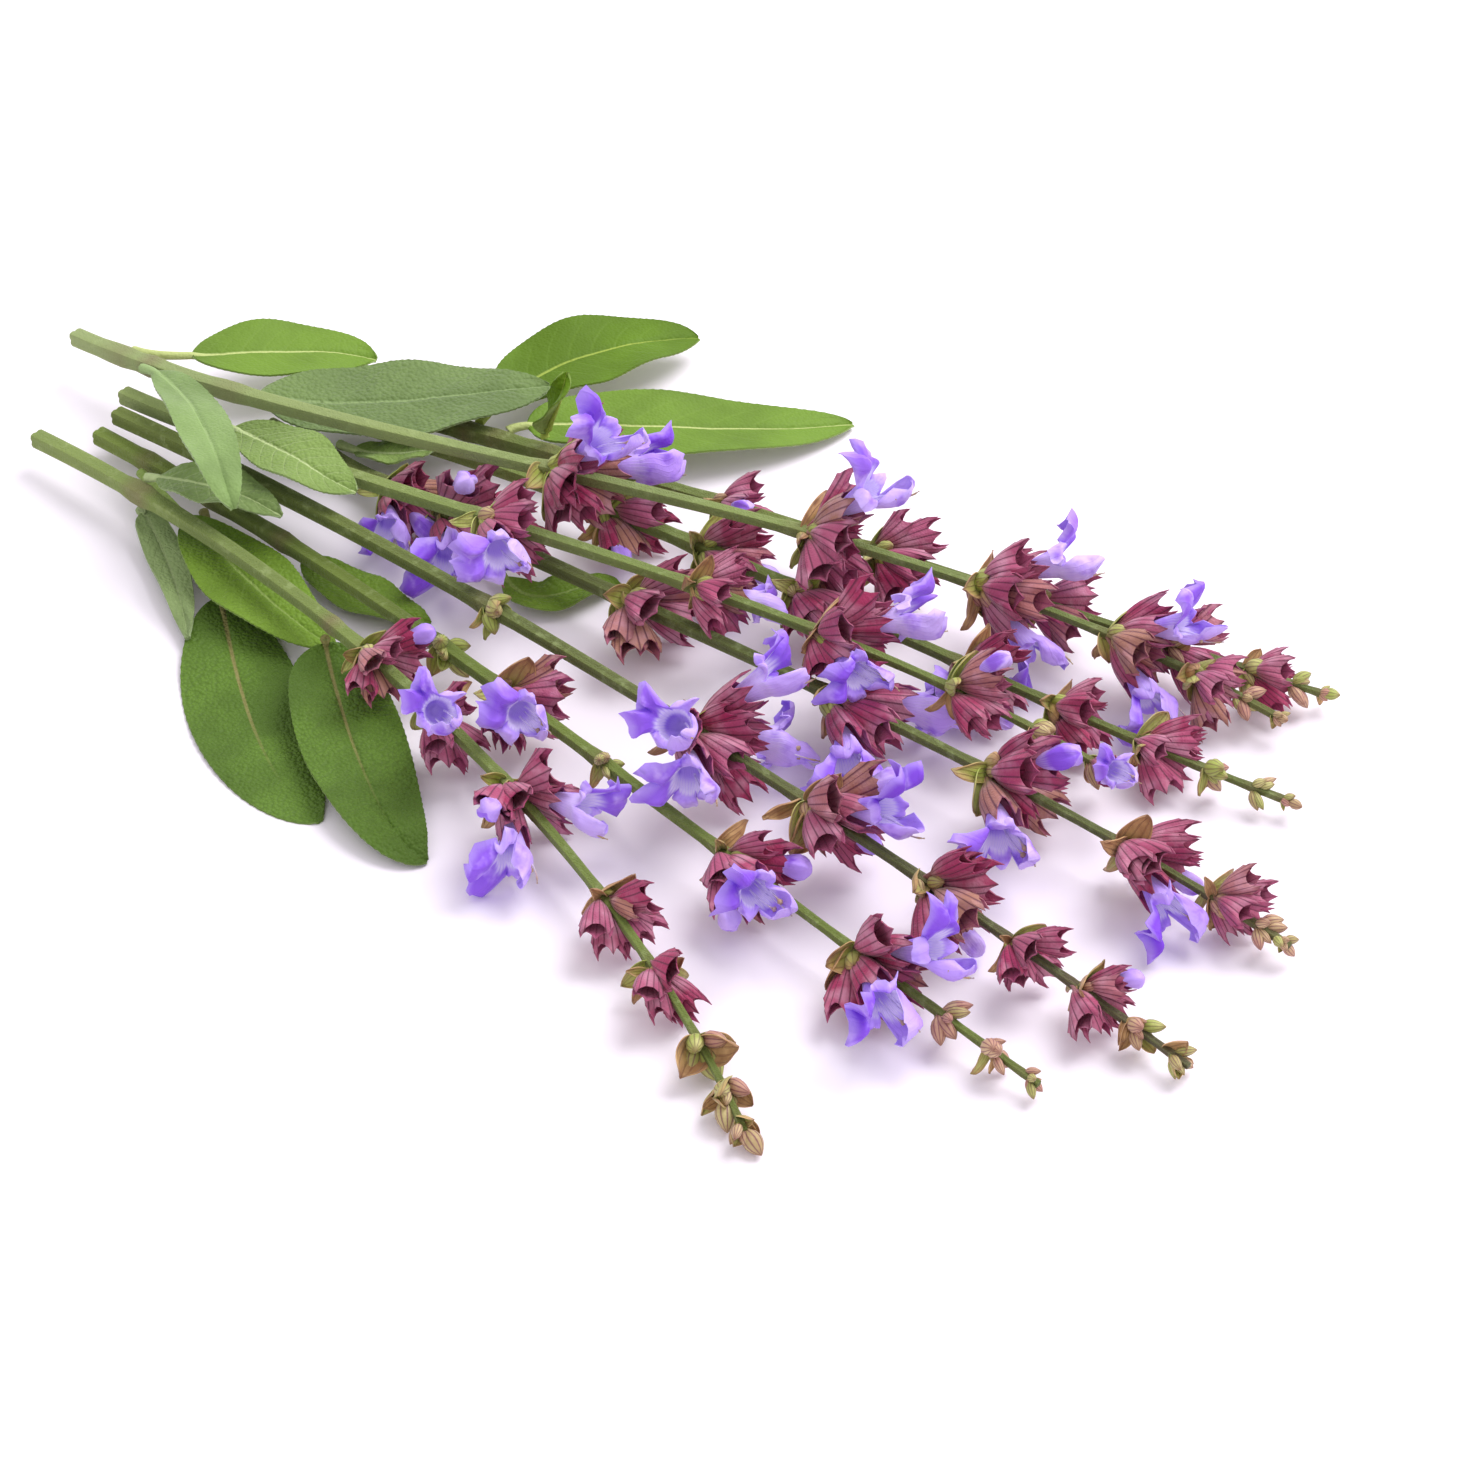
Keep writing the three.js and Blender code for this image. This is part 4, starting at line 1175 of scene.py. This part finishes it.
# Shapes that growths are picked from: flare and squeeze of calyxes, plumpness of buds, width, cup, curl and
# crumple of bracts and husks, and spread, ruffle and fold of corollas
CALYX_SHAPES = [(1.0, 0.78), (0.88, 0.7), (1.08, 0.82), (0.8, 0.66), (0.95, 0.74)]
CUP_SHAPES = [(1.0, 0.3), (0.92, 0.25)]
BUD_PLUMPNESS = [1.15, 0.95, 1.3]
BRACT_SHAPES = [
    (1.3, 0.9, 0.6, 0.9), (1.1, 1.3, -0.8, 1.2), (0.85, 0.7, 2.4, 1.6), (1.5, 1.1, -0.4, 1.3),
    (0.7, 1.5, 1.4, 1.4),
]
SHELL_SHAPES = [(1.6, 1.5, -1.8, 0.7), (1.45, 1.7, -2.6, 0.9), (1.7, 1.3, -1.2, 1.1), (1.3, 1.6, -2.2, 0.6)]
COROLLA_SHAPES = [
    (1.0, 1.0, 0.2), (0.8, 1.4, 0.9), (1.0, 0.9, -0.4), (0.9, 1.3, 0.5), (0.7, 1.1, 1.3), (0.95, 1.5, 0.0),
    (0.85, 1.2, 0.8), (1.05, 1.0, -0.6),
]

# The side that the bunch is seen from, and how far flat growths turn their broad side to it
OUTLOOK = np.array((0.5, -0.58, 0.64))
BROADSIDE = {"calyx": 0.75, "bract": 0.5, "shell": 0.5}
BROADSIDE_WANDER = 0.35
# How many calyxes still hold a folded flower, and how buds and bracts ripen along their stem
FOLDED_SHARE = 0.1
RIPENING = 0.7
RIPENING_START = -0.05
RIPENING_WANDER = 0.4


def broad_side_out(axes, share, wander):
    """Turns a growth about its own length so that its broad side comes to the open side of the bunch."""
    towards = OUTLOOK @ axes[:3, :2]
    turn = math.atan2(towards[1], towards[0])
    turn = (turn + math.pi / 2) % math.pi - math.pi / 2
    turn = share * turn + wander
    turned = axes.copy()
    turned[:3, 0] = axes[:3, 0] * math.cos(turn) + axes[:3, 1] * math.sin(turn)
    turned[:3, 1] = axes[:3, 1] * math.cos(turn) - axes[:3, 0] * math.sin(turn)
    return turned


def make_growths(growths, routes):
    calyxes = [calyx_model("calyx", *shape) for shape in CALYX_SHAPES]
    cups = [calyx_model("cup", *shape) for shape in CUP_SHAPES]
    buds = [bud_model("bud", plump) for plump in BUD_PLUMPNESS]
    bracts = [bract_model("bract", *shape) for shape in BRACT_SHAPES]
    shells = [bract_model("shell", *shape) for shape in SHELL_SHAPES]
    corollas = [corolla_model("corolla", seed, *shape) for seed, shape in enumerate(COROLLA_SHAPES, 1)]
    choices = {"calyx": calyxes, "flower": cups, "bud": buds, "bract": bracts, "shell": shells}
    stamens = stamens_model()
    folded = folded_model()
    stalk = stalk_model()
    finishes = {
        "stalk": stalk_finish(), "calyx": calyx_finish(), "bud": bud_finish(), "bract": bract_finish(),
        "petal": petal_finish(), "thread": thread_finish(),
    }
    for index, route in enumerate(routes):
        node_name = f"flowering_stem_{index + 1}"
        set_down(bend_stalk(stalk, index, route), finishes["stalk"], "stem", node_name)
        made = {"calyx": [], "bud": [], "bract": [], "folded": []}
        for growth in growths:
            if growth["stem"] != index:
                continue
            keys = (index, growth["whorl"], growth["number"], 5)
            chance = (draw(*keys) + 1) / 2
            tint = (draw(*keys, 3) + 1) / 2
            kind = {"flower": "calyx", "shell": "bract"}.get(growth["kind"], growth["kind"])
            if kind in ("bud", "bract"):
                place = STEMS[index]["whorls"][growth["whorl"]][0]
                tint = place * RIPENING + RIPENING_START + RIPENING_WANDER * draw(*keys, 7)
                tint = min(max(tint, 0), 1)
            models = choices[growth["kind"]]
            model = models[int(chance * 0.999 * len(models))]
            axes = growth["axes"]
            if growth["kind"] in BROADSIDE:
                wander = BROADSIDE_WANDER * draw(*keys, 11)
                axes = broad_side_out(axes, BROADSIDE[growth["kind"]], wander)
            made[kind].append(stand(model, axes, tint, kind))
            if growth["kind"] == "calyx" and chance < FOLDED_SHARE:
                made["folded"].append(stand(folded, axes, tint, "folded"))
        for kind, pieces in made.items():
            if pieces:
                piece = join(f"{kind}_set_{index + 1}", pieces)
                if kind == "folded":
                    set_down(piece, finishes["petal"], "corolla")
                else:
                    set_down(piece, finishes[kind], "stem", node_name)
    for growth in growths:
        if growth["kind"] == "flower":
            number = growth["number"]
            tint = (draw(number, 17) + 1) / 2
            model = corollas[number % len(corollas)]
            piece = stand(model, growth["axes"], tint, f"petals_{number + 1}")
            set_down(piece, finishes["petal"], "corolla", f"corolla_{number + 1}")
            threads = stand(stamens, growth["axes"], tint, f"stamens_{number + 1}")
            set_down(threads, finishes["thread"], "corolla")
    for model in (*calyxes, *cups, *buds, *bracts, *shells, *corollas, stamens, folded, stalk):
        bpy.data.objects.remove(model)


# Floor, light and camera

CAMERA_AZIMUTH = 41.0
CAMERA_ELEVATION = 40.0
CAMERA_DISTANCE = 1.1
CAMERA_LENS = 135.6
CAMERA_SENSOR = 36
CAMERA_TARGET = Vector(BUNCH_SHIFT) * MILLIMETRE
FLOOR_SIZE = 8
SKY_STRENGTH = 0.93
LAMP_PLACE = Vector((0.15, 0.65, 1.0))
LAMP_SIZE = 0.9
LAMP_POWER = 12


def floor_finish():
    finish = Finish("pale floor")
    cloud = finish.grain(3, 2)
    colour = finish.mix(cloud, tone("f6eefa"), tone("f9f1fc"))
    return finish.close(colour, 0.7 + 0.1 * cloud, finish.bump(cloud, 0.02, 0.001))


def make_studio():
    bpy.ops.object.select_all(action="DESELECT")
    bpy.ops.mesh.primitive_plane_add(size=FLOOR_SIZE)
    floor = bpy.context.object
    floor.name = "floor"
    floor.data.materials.append(floor_finish())
    world = bpy.data.worlds.new("studio")
    world.use_nodes = True
    sky = world.node_tree.nodes["Background"]
    sky.inputs["Color"].default_value = (1, 1, 1, 1)
    sky.inputs["Strength"].default_value = SKY_STRENGTH
    bpy.context.scene.world = world
    place = CAMERA_TARGET + LAMP_PLACE
    lamp = bpy.data.lights.new("soft light", "AREA")
    lamp.shape = "DISK"
    lamp.size = LAMP_SIZE
    lamp.energy = LAMP_POWER
    light = bpy.data.objects.new("soft light", lamp)
    light.location = place
    light.rotation_euler = (CAMERA_TARGET - place).to_track_quat("-Z", "Y").to_euler()
    bpy.context.scene.collection.objects.link(light)
    bpy.context.scene.view_settings.view_transform = "Standard"


def make_camera():
    turn = math.radians(CAMERA_AZIMUTH)
    rise = math.radians(CAMERA_ELEVATION)
    back = Vector((math.sin(turn) * math.cos(rise), -math.cos(turn) * math.cos(rise), math.sin(rise)))
    lens = bpy.data.cameras.new("camera")
    lens.lens = CAMERA_LENS
    lens.sensor_width = CAMERA_SENSOR
    camera = bpy.data.objects.new("camera", lens)
    camera.location = CAMERA_TARGET + back * CAMERA_DISTANCE
    camera.rotation_euler = (-back).to_track_quat("-Z", "Y").to_euler()
    bpy.context.scene.collection.objects.link(camera)
    bpy.context.scene.camera = camera


stem_routes = [Route(stem["route"]) for stem in STEMS]
leaf_routes = [leaf_route(stem_routes[leaf[1]], leaf[2], leaf[7]) for leaf in LEAVES]
make_studio()
make_camera()
make_leaves(leaf_routes)
make_growths(plan_bunch(stem_routes, leaf_routes), stem_routes)
